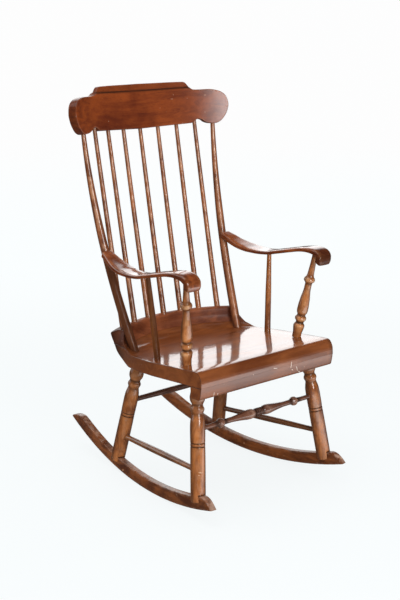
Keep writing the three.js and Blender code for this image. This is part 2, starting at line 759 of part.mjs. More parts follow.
// A turned arm post from the seat into the arm's underside.
function makePost(name, side, grow = 0) {
  const foot = vector(side * postFootX, postFootY, seatTop(postFootY));
  const top = armPoint(postTopShares);
  top.x *= side;
  const height = foot.distanceTo(top);
  const stations = stationsOf(postShares, height, postRadius, grow);
  stations[0][0] = -(postSeatDepth + grow);
  return aimed(piece(name, turned(stations, roundFacets)), foot, top);
}

// A plain arm spindle from the seat into the arm's underside.
function makeArmSpindle(name, side, grow = 0) {
  const foot = vector(side * armSpindleFootX, armSpindleFootY, seatTop(armSpindleFootY));
  const top = armPoint(armSpindleTopShares);
  top.x *= side;
  const height = foot.distanceTo(top);
  const stations = stationsOf(armSpindleShares, height, armSpindleRadius, grow);
  stations[0][0] = -(armSpindleSeatDepth + grow);
  return aimed(piece(name, turned(stations, slimFacets)), foot, top);
}

// Assembly

const sides = [['left', -1], ['right', 1]];
const spindleNumbers = spindlePlaceShares.keys().toArray();

// Everything that stands in a socket of the seat or the crest rail, swollen by the clearance.
function sockets() {
  const rods = sides.flatMap(([name, side]) => [
    makeStile(name, side, clearance),
    makePost(name, side, clearance),
    makeArmSpindle(name, side, clearance),
    makeLeg(name, true, side, clearance),
    makeLeg(name, false, side, clearance),
  ]);
  return [...rods, ...spindleNumbers.map((index) => makeSpindle(index, clearance))];
}

// A leg with its slot, its peg's hole and the sockets of the stretchers that meet in it.
function finishedLeg(end, front, name, side) {
  const leg = makeLeg(`${end}_leg_${name}`, front, side);
  const crossing = front ? makeFrontStretcher(clearance) : makeRearStretcher(clearance);
  const cuts = [footSlot(front, side), makePeg(name, front, side, clearance), crossing];
  return shaped(leg, 'subtract', [...cuts, makeSideStretcher(name, side, clearance)]);
}

function finishedRocker(name, side) {
  const rocker = piece(`rocker_${name}`, board(rockerOutline(), rockerThickness));
  onRocker(rocker, side, rockerThickness);
  const holes = [true, false].map((front) => makePeg(name, front, side, clearance));
  return shaped(rocker, 'subtract', holes);
}

function finishedArm(name, side) {
  const rods = [makeStile, makePost, makeArmSpindle].map((make) => make(name, side, clearance));
  const arm = shaped(makeArm(`arm_${name}`, side), 'subtract', rods);
  return shaped(arm, 'add', [makeArmTenon(side)]);
}

function finishedStile(name, side) {
  return shaped(makeStile(`stile_${name}`, side), 'subtract', [makeArmTenon(side, clearance)]);
}

const underframe = new THREE.Group();
const seat = new THREE.Group();
const back = new THREE.Group();
const armwork = new THREE.Group();
const socketRods = sockets();

for (const [name, side] of sides) {
  underframe.add(finishedRocker(name, side));
  underframe.add(finishedLeg('front', true, name, side));
  underframe.add(finishedLeg('rear', false, name, side));
  underframe.add(makePeg(`front_peg_${name}`, true, side));
  underframe.add(makePeg(`rear_peg_${name}`, false, side));
  underframe.add(makeSideStretcher(`side_stretcher_${name}`, side));
  back.add(finishedStile(name, side));
  armwork.add(finishedArm(name, side));
  armwork.add(makePost(`arm_post_${name}`, side));
  armwork.add(makeArmSpindle(`arm_spindle_${name}`, side));
}
underframe.add(makeFrontStretcher(), makeRearStretcher());
for (const make of [makePlank, makeFrontRoll, makeBackRoll]) seat.add(shaped(make(), 'subtract', socketRods));
for (const index of spindleNumbers) back.add(makeSpindle(index));
back.add(shaped(makeCrest(), 'subtract', socketRods));

const chair = new THREE.Group();
chair.add(underframe, seat, back, armwork);

// The origin lies under the middle of the chair's box, at floor height.
const box = new THREE.Box3().setFromObject(chair, true);
const middle = box.getCenter(new THREE.Vector3());
chair.position.set(-middle.x, -middle.y, -box.min.z);

export default chair;
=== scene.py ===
import json
import logging
import math
from dataclasses import dataclass
from enum import Enum

import bmesh
import bpy
import numpy as np
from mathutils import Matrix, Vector


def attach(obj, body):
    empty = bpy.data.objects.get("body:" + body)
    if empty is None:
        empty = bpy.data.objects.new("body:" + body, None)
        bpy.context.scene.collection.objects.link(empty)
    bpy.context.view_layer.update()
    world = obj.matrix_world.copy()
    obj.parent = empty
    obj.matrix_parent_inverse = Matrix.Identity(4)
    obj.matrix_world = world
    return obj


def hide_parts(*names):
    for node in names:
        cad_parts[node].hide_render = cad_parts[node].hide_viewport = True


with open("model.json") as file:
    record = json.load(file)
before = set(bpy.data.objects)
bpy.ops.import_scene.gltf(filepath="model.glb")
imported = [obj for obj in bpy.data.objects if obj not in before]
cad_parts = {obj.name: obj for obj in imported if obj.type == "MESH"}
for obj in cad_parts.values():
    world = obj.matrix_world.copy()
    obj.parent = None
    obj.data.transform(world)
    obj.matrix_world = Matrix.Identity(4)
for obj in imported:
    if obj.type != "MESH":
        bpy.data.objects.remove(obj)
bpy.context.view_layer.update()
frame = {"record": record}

log = logging.getLogger("chair")

# The rockers touch the floor on this line of the part's frame; the classes below measure Y from it.
CONTACT_Y = sum(mount["pos_m"][1] for mount in frame["record"]["mounts"][:2]) / 2
BODY = "root"
# The side of upright round wood that gets a painted highlight, with painted shade round the rest: to the
# front and a little to the left.
LIT_SIDE = np.array([-0.55, -0.835, 0.0])
SIDES = {"left": -1.0, "right": 1.0}
# How much darker the round wood between the seat and the arm is on either side.
LOW_ROD_DARKENING = {"left": 0.85, "right": 0.05}
# How many even places of a turned piece are compared, and the share of its length in the longer mean.
RELIEF_STEPS = 600
RELIEF_REACH = 0.09
# The shares of the radius at which standing proud, lying low and a scored line count in full.
PROUD_FULL = 0.09
HOLLOW_FULL = 0.17
SCORE_FULL = 0.05
# Painted highlight and painted shade on upright round wood, by the cosine of the angle to its lit side:
# where each starts, over what stretch it grows, and how much there is of it in full.
PAINTED_HIGHLIGHT = (0.82, 0.16, 0.55)
PAINTED_SHADE = (0.86, -0.4, 0.7)
# Rows of corners on a board's rounded edge, as shares of its roundness, and how square the edge is.
EDGE_ROWS = np.array([0, 0.03, 0.1, 0.22, 0.42, 0.68, 1.0])
EDGE_POWER = 5

Pair = tuple[float, float]
Table = list[Pair]
Rows = tuple[tuple[float, ...], ...]
Triple = tuple[float, float, float]
Colour = tuple[float, float, float]
Faces = list[list[int]]
Socket = bpy.types.NodeSocket


# Curves and surfaces


def eased(table: Table, places: np.ndarray) -> np.ndarray:
    """Smooth value at each place of a table, with no overshoot between its rows.

    A cubic runs between each two rows. Its slope at a row is the weighted harmonic mean of the
    slopes on both sides, and zero where these have different signs.

    Args:
        table: rows of place and value, the places rising.
        places: where the value is wanted.

    Returns:
        One value for each place.
    """
    start, value = np.asarray(table, float).T
    step = np.diff(start)
    slope = np.diff(value) / step
    before, after = slope[:-1], slope[1:]
    near, far = 2 * step[1:] + step[:-1], step[1:] + 2 * step[:-1]
    same = before * after > 0
    safe_before = np.where(same, before, 1.0)
    safe_after = np.where(same, after, 1.0)
    mean = (near + far) / (near / safe_before + far / safe_after)
    tangent = np.concatenate([slope[:1], np.where(same, mean, 0.0), slope[-1:]])
    row = np.clip(np.searchsorted(start, places, side="right") - 1, 0, len(step) - 1)
    t = np.clip((places - start[row]) / step[row], 0.0, 1.0)
    rise = t * t * (3 - 2 * t)
    return (
        value[row] * (1 - rise)
        + value[row + 1] * rise
        + step[row] * t * (1 - t) * (tangent[row] * (1 - t) - tangent[row + 1] * t)
    )


def walked_to(points: np.ndarray) -> np.ndarray:
    """Distance walked to each of some points, from the first and from point to point."""
    return np.concatenate([[0.0], np.cumsum(np.linalg.norm(np.diff(points, axis=0), axis=1))])


def even_rows(points: np.ndarray, count: int) -> np.ndarray:
    """Evenly spaced points of the straight pieces between some given points.

    Args:
        points: one row for each given point.
        count: how many points are wanted.

    Returns:
        The line, count rows long.
    """
    walked = walked_to(points)
    places = np.linspace(0, walked[-1], count)
    return np.stack([np.interp(places, walked, column) for column in points.T], axis=1)


def smooth_path(points: np.ndarray, count: int) -> np.ndarray:
    """Evenly spaced points of a smooth line through some given points.

    Each coordinate is eased over the distance walked from point to point.

    Args:
        points: one row for each given point.
        count: how many points are wanted.

    Returns:
        The line, count rows long.
    """
    points = np.asarray(points, float)
    walked = walked_to(points)
    places = np.linspace(0.0, walked[-1], count)
    columns = [eased(list(zip(walked, column)), places) for column in points.T]
    return np.stack(columns, axis=1)


def unit(vectors: np.ndarray) -> np.ndarray:
    """The same vectors, each one long."""
    return vectors / np.linalg.norm(vectors, axis=-1, keepdims=True)


def ramp(value: np.ndarray, start: float, stretch: float) -> np.ndarray:
    """How far a value is along a stretch from its start, held between 0 and 1."""
    return np.clip((value - start) / stretch, 0, 1)


def close(distance: np.ndarray, width: float) -> np.ndarray:
    """One at no distance, falling evenly to nought at a width."""
    return np.clip(1 - distance / width, 0, 1)


def greater(first: np.ndarray, second: np.ndarray, softness: float) -> np.ndarray:
    """The greater of two heights a and b, made soft by s: (a + b + root((a - b)^2 + s^2)) / 2."""
    return (first + second + np.sqrt((first - second) ** 2 + softness**2)) / 2


def mirror(name: str) -> np.ndarray:
    """What X, Y and Z of a piece of the right side are multiplied by for a side."""
    return np.array([SIDES[name], 1.0, 1.0])


def gathered(table: Table, count: int) -> np.ndarray:
    """Even places from 0 to 1 together with the table's own places, in order.

    Args:
        table: rows that start with a place.
        count: how many even places are wanted.

    Returns:
        The places, none twice.
    """
    own = np.array([row[0] for row in table])
    own = own[(own >= 0) & (own <= 1)]
    return np.unique(np.round(np.concatenate([np.linspace(0, 1, count), own]), 6))


def distance_to_line(points: np.ndarray, line: np.ndarray) -> np.ndarray:
    """Distance of each point to the nearest piece of a closed line.

    A point's foot on each piece is found by its share along the piece, held between 0 and 1.

    Args:
        points: rows of two coordinates.
        line: rows of two coordinates, the last joined to the first.

    Returns:
        One distance for each point.
    """
    ends = np.roll(line, -1, axis=0)
    along = ends - line
    square = np.maximum((along**2).sum(1), 1e-18)
    nearest = np.full(len(points), np.inf)
    for start, run, size in zip(line, along, square):
        share = np.clip((points - start) @ run / size, 0, 1)
        gap = points - start - share[:, None] * run
        nearest = np.minimum(nearest, (gap**2).sum(1))
    return np.sqrt(nearest)


@dataclass(frozen=True)
class Shape:
    """A closed surface, with wear and painted highlight, and grime and painted shade, from 0 to 1 at each
    corner.
    """

    corners: np.ndarray
    faces: Faces
    wear_and_highlight: np.ndarray
    grime_and_shade: np.ndarray

    def darkened(self, least: np.ndarray | float, kept_wear: np.ndarray | float = 1.0) -> "Shape":
        """The same surface with no less grime and painted shade than that, and a share of its wear and
        painted highlight.
        """
        return Shape(self.corners, self.faces, self.wear_and_highlight * kept_wear, np.maximum(self.grime_and_shade, least))


def grid_faces(rows: int, columns: int, first: int = 0, closed: bool = False) -> np.ndarray:
    """Four-sided faces between the corners of a grid.

    Args:
        rows: number of rows of corners.
        columns: number of corners in a row.
        first: number of the grid's first corner.
        closed: whether each row's last corner is joined to its first.

    Returns:
        Rows of four corner numbers.
    """
    row, column = np.meshgrid(
        np.arange(rows - 1), np.arange(columns if closed else columns - 1), indexing="ij"
    )
    after = (column + 1) % columns
    here = first + row * columns
    corners = [here + column, here + after, here + columns + after, here + columns + column]
    return np.stack(corners, axis=-1).reshape(-1, 4)


def tube(rings: np.ndarray, wear_and_highlight: np.ndarray, grime_and_shade: np.ndarray) -> Shape:
    """Closed surface through rings of corners, each end closed by a fan to its middle.

    Args:
        rings: corners by ring, by place round the ring, by coordinate.
        wear_and_highlight: wear and painted highlight, one value for each ring, or for each corner of each
            ring.
        grime_and_shade: grime and painted shade, the same.

    Returns:
        The surface.
    """
    count, around, _ = rings.shape
    ends = np.stack([rings[0].mean(0), rings[-1].mean(0)])
    corners = np.vstack([rings.reshape(-1, 3), ends])
    faces = grid_faces(count, around, closed=True).tolist()
    step = np.arange(around)
    after = (step + 1) % around
    low = np.full(around, count * around)
    faces += np.stack([after, step, low], axis=1).tolist()
    top = (count - 1) * around
    faces += np.stack([top + step, top + after, low + 1], axis=1).tolist()
    shades = []
    for shade in (wear_and_highlight, grime_and_shade):
        whole = np.broadcast_to(shade if shade.ndim == 2 else shade[:, None], (count, around))
        shades.append(np.concatenate([whole.reshape(-1), whole[0, :1], whole[-1, :1]]))
    return Shape(corners, faces, *shades)


def relief(places: np.ndarray, radii: np.ndarray) -> tuple[np.ndarray, np.ndarray]:
    """Wear on what stands proud along a turned piece, and darkening in what lies low.

    The radius is compared with its own mean over a stretch on both sides. The darkening is also
    strong where the radius is less than its mean over a fifth of that stretch, as in a scored line.

    Args:
        places: shares along the piece.
        radii: radius at each place.

    Returns:
        Wear and darkening at each place, from 0 to 1.
    """
    even = np.linspace(0, 1, RELIEF_STEPS)
    radius = np.interp(even, places, radii)
    proud = []
    for share in (RELIEF_REACH, RELIEF_REACH / 5):
        width = max(3, int(share * RELIEF_STEPS) | 1)
        padded = np.pad(radius, width // 2, mode="edge")
        mean = np.convolve(padded, np.ones(width) / width, mode="valid")
        proud.append((radius - mean) / mean)
    lowest = np.min([np.roll(proud[1], step) for step in range(-2, 3)], axis=0)
    wear_and_highlight = np.clip(proud[0] / PROUD_FULL, 0, 1)
    grime_and_shade = np.maximum(np.clip(-proud[0] / HOLLOW_FULL, 0, 1), np.clip(-lowest / SCORE_FULL, 0, 1))
    return np.interp(places, even, wear_and_highlight), np.interp(places, even, grime_and_shade)


def turned(start: np.ndarray, end: np.ndarray, shares: Table, radius: float, rings: int = 150,
           facets: int = 40) -> Shape:
    """Surface of revolution between two points.

    A corner lies at the point a share along the line, moved out by the eased radius at that
    share, in the direction that an angle from 0 to a full turn gives.

    Args:
        start: one end of the axis.
        end: the other end.
        shares: rows of share of the length and share of the radius.
        radius: the radius that the shares follow.
        rings: least number of rings.
        facets: corners round a ring.

    Returns:
        The closed surface.
    """
    places = gathered(shares, rings)
    radii = eased(shares, places) * radius
    axis = end - start
    return round_tube(start + places[:, None] * axis, np.broadcast_to(unit(axis), (len(places), 3)),
                      radii, places, facets)


def round_tube(middle: np.ndarray, tangent: np.ndarray, radii: np.ndarray, places: np.ndarray,
               facets: int) -> Shape:
    """Round rod along a line, from the middle and the radius of each ring.

    A corner is the middle plus the radius times the cosine and sine of an angle along two
    directions square to the tangent. An upright rod gets a painted highlight on its lit side and painted
    shade round the rest.

    Args:
        middle: the middle of each ring.
        tangent: the line's direction at each ring.
        radii: radius of each ring.
        places: share of the length at each ring.
        facets: corners round a ring.

    Returns:
        The closed surface.
    """
    across = np.array([1.0, 0.0, 0.0])
    if abs(tangent[0] @ across) > 0.8:
        across = np.array([0.0, 0.0, 1.0])
    back = unit(np.cross(tangent, across))
    side = np.cross(back, tangent)
    angle = np.linspace(0, 2 * np.pi, facets, endpoint=False)[None, :, None]
    out = np.cos(angle) * side[:, None] + np.sin(angle) * back[:, None]
    rings = middle[:, None] + radii[:, None, None] * out
    wear_and_highlight, grime_and_shade = relief(places, radii)
    # Painted highlight on an upright rod's lit side and painted shade round the rest, added to its wear
    # and grime.
    facing = out @ LIT_SIDE
    upright = abs(unit(tangent[0])[2])
    painted_highlight, painted_shade = (ramp(facing, *span) * full * upright for *span, full in (PAINTED_HIGHLIGHT, PAINTED_SHADE))
    return tube(rings, np.maximum(wear_and_highlight[:, None], painted_highlight), np.maximum(grime_and_shade[:, None], painted_shade))


def bent_rod(foot: np.ndarray, bend: np.ndarray, top: np.ndarray, shares: Table, radius: float,
             tenons: Pair, rings: int = 70, facets: int = 24) -> Shape:
    """Round rod along a bow through two ends, drawn towards a third point.

    The middle is foot (1-t)^2 + 2 bend t (1-t) + top t^2, with t run on past both ends.

    Args:
        foot: where the rod leaves its lower socket.
        bend: the point that the bow is drawn towards.
        top: where it enters the upper socket.
        shares: rows of share of the length and share of the radius.
        radius: the radius that the shares follow.
        tenons: how far the rod runs into its lower and its upper socket.
        rings: number of rings.
        facets: corners round a ring.

    Returns:
        The closed surface.
    """
    length = np.linalg.norm(top - foot)
    t = np.linspace(-tenons[0] / length, 1 + tenons[1] / length, rings)[:, None]
    middle = foot * (1 - t) ** 2 + 2 * bend * t * (1 - t) + top * t**2
    tangent = unit(2 * (bend - foot) * (1 - t) + 2 * (top - bend) * t)
    places = t[:, 0]
    radii = eased(shares, np.clip(places, 0, 1)) * radius
    return round_tube(middle, tangent, radii, places, facets)


def board(line: np.ndarray, columns: np.ndarray, low: np.ndarray, high: np.ndarray,
          thickness: float, arris: float, inner_rows: int) -> tuple[np.ndarray, Faces, np.ndarray]:
    """Two faces of a board between a lower and an upper height at each place along it.

    A corner lies a place along the board and a share of the way from the lower to the upper
    height. Its face stands out by half the thickness times (1 - (1 - d/r)^5)^(1/5), where d is
    the distance to the outline, up to r, and r the roundness of the edges.

    Args:
        line: the board's closed outline, as rows of place and height.
        columns: places along the board.
        low: lower height at each place.
        high: upper height at each place.
        thickness: the board's thickness.
        arris: the roundness of its edges.
        inner_rows: rows of corners between the rounded edges.

    Returns:
        Corners as place, depth and height, faces, and the distance of each corner to the outline.
    """
    edge = arris * EDGE_ROWS
    height = (high - low)[:, None]
    near = edge[None] * np.minimum(1.0, height / (3 * arris))
    inner = np.linspace(0, 1, inner_rows + 2)[None, 1:-1]
    middle = near[:, -1:] + inner * (height - 2 * near[:, -1:])
    rows = np.concatenate([near, middle, height - near[:, ::-1]], axis=1)
    places = np.broadcast_to(columns[:, None], rows.shape)
    points = np.stack([places, low[:, None] + rows], axis=-1).reshape(-1, 2)
    rim = np.isin(np.arange(rows.size) % rows.shape[1], [0, rows.shape[1] - 1])
    gap = np.where(rim, 0.0, distance_to_line(points, line))
    out = thickness / 2 * (1 - (1 - np.clip(gap / arris, 0, 1)) ** EDGE_POWER) ** (1 / EDGE_POWER)
    sheets = [np.stack([points[:, 0], way * out, points[:, 1]], axis=1) for way in (-1, 1)]
    faces = grid_faces(*rows.shape).tolist()
    faces += grid_faces(*rows.shape, first=len(points))[:, ::-1].tolist()
    return np.vstack(sheets), faces, np.tile(gap, 2)


def softened(loops: np.ndarray, across: np.ndarray, arris: float, steps: int = 4) -> np.ndarray:
    """A row of section loops with the two end loops drawn in, so that the end edges are round.

    Towards an end, a loop moves in square to its own line by r (1 - cos a) while it runs out by
    r sin a, with a from 0 to a right angle.

    Args:
        loops: corners by section, by place round the section, by coordinate.
        across: direction in which the row of sections runs.
        arris: roundness of the end edges.
        steps: loops added at each end.

    Returns:
        The same row with the added loops.
    """
    angle = np.linspace(0, np.pi / 2, steps + 1)
    rows = list(loops[1:-1])
    for end, way in ((loops[0], -1.0), (loops[-1], 1.0)):
        ahead = np.roll(end, -1, axis=0) - np.roll(end, 1, axis=0)
        inward = unit(np.cross(ahead, across))
        middle = end.mean(0)
        if ((middle - end) * inward).sum() < 0:
            inward = -inward
        added = [
            end + way * across * arris * (math.sin(a) - 1) + inward * arris * (1 - math.cos(a))
            for a in angle
        ]
        rows = added[::-1] + rows if way < 0 else rows + added
    return np.array(rows)


def laddered(loops: np.ndarray, wear_and_highlight: np.ndarray, grime_and_shade: np.ndarray, rungs: int = 8) -> Shape:
    """Closed surface through section loops, each end closed by a grid from one half to the other.

    The loop's first half runs out and its second half runs back beside it, so that corner i and
    corner n-1-i face each other, and rungs between them fill the end.

    Args:
        loops: corners by section, by place round the section, by coordinate.
        wear_and_highlight: wear and painted highlight, one value for each corner of each loop.
        grime_and_shade: grime and painted shade, the same.
        rungs: rows of corners that fill an end.

    Returns:
        The closed surface.
    """
    count, around, _ = loops.shape
    corners = [loops.reshape(-1, 3)]
    faces = grid_faces(count, around, closed=True).tolist()
    shades = [[wear_and_highlight.reshape(-1)], [grime_and_shade.reshape(-1)]]
    half = around // 2
    share = np.linspace(0, 1, rungs)[:, None, None]
    first = count * around
    for end, backwards in ((0, True), (count - 1, False)):
        out, home = loops[end, :half], loops[end, half:][::-1]
        fill = out * (1 - share) + home * share
        grid = grid_faces(rungs, half, first=first)
        faces += (grid[:, ::-1] if backwards else grid).tolist()
        corners.append(fill.reshape(-1, 3))
        for shade, source in zip(shades, (wear_and_highlight, grime_and_shade)):
            ends = source[end, :half] * (1 - share[..., 0]) + source[end, half:][::-1] * share[..., 0]
            shade.append(ends.reshape(-1))
        first += fill.shape[0] * fill.shape[1]
    return Shape(np.vstack(corners), faces, *[np.concatenate(shade) for shade in shades])


# Finishes


class Grain(Enum):
    """Which way a piece's grain runs: the stretch of its pattern along X, Y and Z."""

    ACROSS = (0.09, 1.0, 1.0)
    BACKWARDS = (1.0, 0.09, 1.0)
    UPRIGHT = (1.0, 1.0, 0.09)


class Sketch:
    """The nodes of a material or a world, added one by one and linked as they are made."""

    def __init__(self, owner: bpy.types.Material | bpy.types.World) -> None:
        """Starts from no nodes.

        Args:
            owner: the material or world that the nodes are for.
        """
        self.owner = owner
        owner.use_nodes = True
        self.nodes = owner.node_tree.nodes
        self.links = owner.node_tree.links
        self.nodes.clear()

    def add(self, kind: str, inputs: dict | None = None, **settings: str) -> bpy.types.Node:
        """Adds a node.

        Args:
            kind: the node's type.
            inputs: values or sockets for its inputs, by name or number.
            settings: its own properties.

        Returns:
            The node.
        """
        node = self.nodes.new(kind)
        for name, value in settings.items():
            setattr(node, name, value)
        for name, value in (inputs or {}).items():
            if isinstance(value, Socket):
                self.links.new(value, node.inputs[name])
            else:
                node.inputs[name].default_value = value
        return node

    def noise(self, vector: Socket, scale: float, detail: float = 3.0, distortion: float = 0.0,
              roughness: float = 0.55) -> Socket:
        """Cloudy values from 0 to 1.

        Args:
            vector: the place.
            scale: how many clouds there are in a metre.
            detail: how many times finer clouds are laid over them.
            distortion: how far they are stirred.
            roughness: how much each finer layer counts.

        Returns:
            The value.
        """
        inputs = {"Vector": vector, "Scale": scale, "Detail": detail, "Distortion": distortion,
                  "Roughness": roughness}
        return self.add("ShaderNodeTexNoise", inputs).outputs[0]

    def sum(self, how: str, first: Socket | float, second: Socket | float) -> Socket:
        """One step of arithmetic on two values."""
        return self.add("ShaderNodeMath", {0: first, 1: second}, operation=how).outputs[0]

    def spread(self, value: Socket, low: float, high: float, to_low: float = 0.0,
               to_high: float = 1.0) -> Socket:
        """A value's range from low to high, stretched smoothly to another and held there.

        Args:
            value: the value.
            low: the start of its range.
            high: the end of its range.
            to_low: what it becomes at the start and before it.
            to_high: what it becomes at the end and past it.

        Returns:
            The new value.
        """
        inputs = {"Value": value, "From Min": low, "From Max": high, "To Min": to_low,
                  "To Max": to_high}
        node = self.add("ShaderNodeMapRange", inputs, interpolation_type="SMOOTHSTEP")
        return node.outputs["Result"]

    def split(self, place: Socket) -> list[Socket]:
        """X, Y and Z of a place or direction."""
        return self.add("ShaderNodeSeparateXYZ", {0: place}).outputs[:3]

    def product(self, place: list[Socket], ramps: Rows) -> Socket:
        """Several ranges of a place's coordinates, each stretched to another, and multiplied.

        Args:
            place: X, Y and Z of the place.
            ramps: rows of the coordinate's number, the low and high of its range, and what they become.

        Returns:
            The product.
        """
        whole, *others = (self.spread(place[axis], *spans) for axis, *spans in ramps)
        for share in others:
            whole = self.sum("MULTIPLY", whole, share)
        return whole

    def blend(self, share: Socket | float, first: Socket | Colour, second: Socket | Colour) -> Socket:
        """A colour between two.

        Args:
            share: how much of the second colour there is in it.
            first: the colour at nought.
            second: the colour at one.

        Returns:
            The colour.
        """
        node = self.add("ShaderNodeMix", data_type="RGBA")
        for number, value in ((0, share), (6, first), (7, second)):
            socket = node.inputs[number]
            if isinstance(value, Socket):
                self.links.new(value, socket)
            else:
                socket.default_value = (*value, 1.0) if isinstance(value, tuple) else value
        return node.outputs[2]


@dataclass(frozen=True)
class Mark:
    """A scratch or knock in the varnish: an ellipsoid, turned, with Y from the contact line."""

    middle: Triple
    size: Triple
    turn: Triple = (0.0, 0.0, 0.0)


@dataclass(frozen=True)
class WoodFinish:
    """Stained and varnished wood: dark and light growth, worn edges and painted highlights, grimy hollows
    and painted shade, small chips.

    The grime and painted shade are dull: where they lie, the varnish shines less.
    """

    name: str
    slot: str
    grain: Grain
    dark: Colour
    light: Colour
    # The worn colour is also the colour of painted highlight; the grime colour below is also that of
    # painted shade.
    worn_and_lit: Colour
    broad_scale: float = 9.0
    streak_scale: float = 55.0
    pore_amount: float = 0.3
    wear_and_highlight_amount: float = 0.6
    grime_and_shade: Colour = (0.018, 0.009, 0.006)
    chip: Colour = (0.42, 0.25, 0.16)
    chip_level: float = 0.745
    bare: Colour = (0.62, 0.47, 0.38)
    roughness: float = 0.42
    body_shine: float = 0.04
    coat_weight: float = 0.75
    coat_roughness: float = 0.14
    coat_ior: float = 1.5
    ripple: float = 0.0003
    marks: tuple[Mark, ...] = ()

    # Growth: the range of the clouds from dark to light, and how much of them the broad ones make.
    growth_range: Pair = (0.36, 0.64)
    broad_share: float = 0.55
    # Pores: how many times finer they are than the streaks, their range, and their depth.
    pore_fineness: float = 14.0
    pore_range: Pair = (0.52, 0.72)
    pore_depth: float = 0.00012
    # The patches in which worn wood and painted highlight show, and the grime and painted shade that are
    # caught, by the broad clouds.
    patch_scale: float = 42.0
    patch_range: Pair = (0.36, 0.62)
    caught_range: Rows = ((0.25, 0.6), (0.5, 0.9))
    # Chips: their scale, how soft their edge is, and how bare they are.
    chip_scale: float = 85.0
    chip_edge: float = 0.02
    chip_share: float = 0.7
    # Knocks: how ragged their edge is, and the distances where it starts and ends, in a mark's sizes.
    ragged_scale: float = 420.0
    ragged_amount: float = 0.9
    knock_edge: Pair = (1.1, 1.4)
    # How rough the wood is by the broad clouds, and how much varnish shines where grime and painted shade
    # lie.
    roughness_range: Rows = ((0.3, 0.7), (-0.07, 0.1))
    dull_range: Rows = ((0.1, 0.8), (1.0, 0.25))
    ripple_scale: float = 24.0
    body_ior: float = 1.45

    def knocks(self, sketch: Sketch, place: Socket) -> Socket:
        """Share of bared wood: one inside each mark, with a ragged edge, and nought outside.

        Args:
            sketch: the material's nodes.
            place: the place on the piece.

        Returns:
            The share.
        """
        whole = sketch.add("ShaderNodeValue").outputs[0]
        ragged = sketch.noise(place, self.ragged_scale, detail=2.0)
        ragged = sketch.sum("MULTIPLY", ragged, self.ragged_amount)
        for mark in self.marks:
            x, y, z = mark.middle
            inputs = {"Vector": place, "Location": (x, y + CONTACT_Y, z), "Rotation": mark.turn,
                      "Scale": mark.size}
            inside = sketch.add("ShaderNodeMapping", inputs, vector_type="TEXTURE").outputs[0]
            far = sketch.add("ShaderNodeVectorMath", {0: inside}, operation="LENGTH").outputs["Value"]
            share = sketch.spread(sketch.sum("ADD", far, ragged), *self.knock_edge, 1.0, 0.0)
            whole = sketch.sum("MAXIMUM", whole, share)
        return whole

    def material(self) -> bpy.types.Material:
        """The finish as a material, made once and then found by its name.

        Returns:
            The material.
        """
        known = bpy.data.materials.get(self.name)
        if known:
            return known
        sketch = Sketch(bpy.data.materials.new(self.name))
        place = sketch.add("ShaderNodeTexCoord").outputs["Object"]
        along = sketch.add("ShaderNodeMapping", {"Vector": place, "Scale": self.grain.value}).outputs[0]
        broad = sketch.noise(place, self.broad_scale, detail=4.0, distortion=0.6)
        bands = sketch.noise(along, self.streak_scale, detail=5.0, distortion=1.2, roughness=0.6)
        pores = sketch.noise(along, self.streak_scale * self.pore_fineness, detail=2.0)
        growth = sketch.sum("ADD", sketch.sum("MULTIPLY", broad, self.broad_share),
                            sketch.sum("MULTIPLY", bands, 1 - self.broad_share))
        colour = sketch.blend(sketch.spread(growth, *self.growth_range), self.dark, self.light)
        pored = sketch.spread(pores, *self.pore_range, 0, self.pore_amount)
        colour = sketch.blend(pored, colour, self.grime_and_shade)
        wear_and_highlight = sketch.add("ShaderNodeAttribute", attribute_name="wear_and_highlight").outputs["Fac"]
        grime_and_shade = sketch.add("ShaderNodeAttribute", attribute_name="grime_and_shade").outputs["Fac"]
        patchy = sketch.noise(place, self.patch_scale, detail=5.0, distortion=0.4)
        patchy = sketch.spread(patchy, *self.patch_range)
        # Wear and painted highlight blend towards the worn colour; grime and painted shade darken and dull
        # the varnish.
        worn_and_lit_share = sketch.sum("MULTIPLY", sketch.sum("MULTIPLY", wear_and_highlight, patchy), self.wear_and_highlight_amount)
        colour = sketch.blend(worn_and_lit_share, colour, self.worn_and_lit)
        span, shares = self.caught_range
        grime_and_shade_share = sketch.sum("MULTIPLY", grime_and_shade, sketch.spread(broad, *span, *shares))
        colour = sketch.blend(grime_and_shade_share, colour, self.grime_and_shade)
        spots = sketch.noise(place, self.chip_scale, detail=2.0, distortion=0.3)
        chips = sketch.spread(spots, self.chip_level, self.chip_level + self.chip_edge)
        colour = sketch.blend(sketch.sum("MULTIPLY", chips, self.chip_share), colour, self.chip)
        colour = sketch.blend(self.knocks(sketch, place), colour, self.bare)
        span, change = self.roughness_range
        rough = sketch.spread(broad, *span, *(self.roughness + step for step in change))
        wavy = sketch.noise(place, self.ripple_scale, detail=2.0)
        swell = sketch.add("ShaderNodeBump", {"Height": wavy, "Distance": self.ripple, "Strength": 1.0})
        fine = sketch.add("ShaderNodeBump", {
            "Height": sketch.sum("ADD", pores, sketch.sum("MULTIPLY", chips, -2.0)),
            "Distance": self.pore_depth, "Strength": 0.6, "Normal": swell.outputs[0],
        })
        span, shares = self.dull_range
        coat = sketch.spread(grime_and_shade_share, *span, *(self.coat_weight * share for share in shares))
        shader = sketch.add("ShaderNodeBsdfPrincipled", {
            "Base Color": colour, "Roughness": rough, "Normal": fine.outputs[0],
            "Coat Normal": swell.outputs[0], "IOR": self.body_ior,
            "Coat Weight": coat, "Specular IOR Level": self.body_shine,
            "Coat Roughness": self.coat_roughness, "Coat IOR": self.coat_ior,
        })
        sketch.add("ShaderNodeOutputMaterial", {"Surface": shader.outputs[0]})
        return sketch.owner


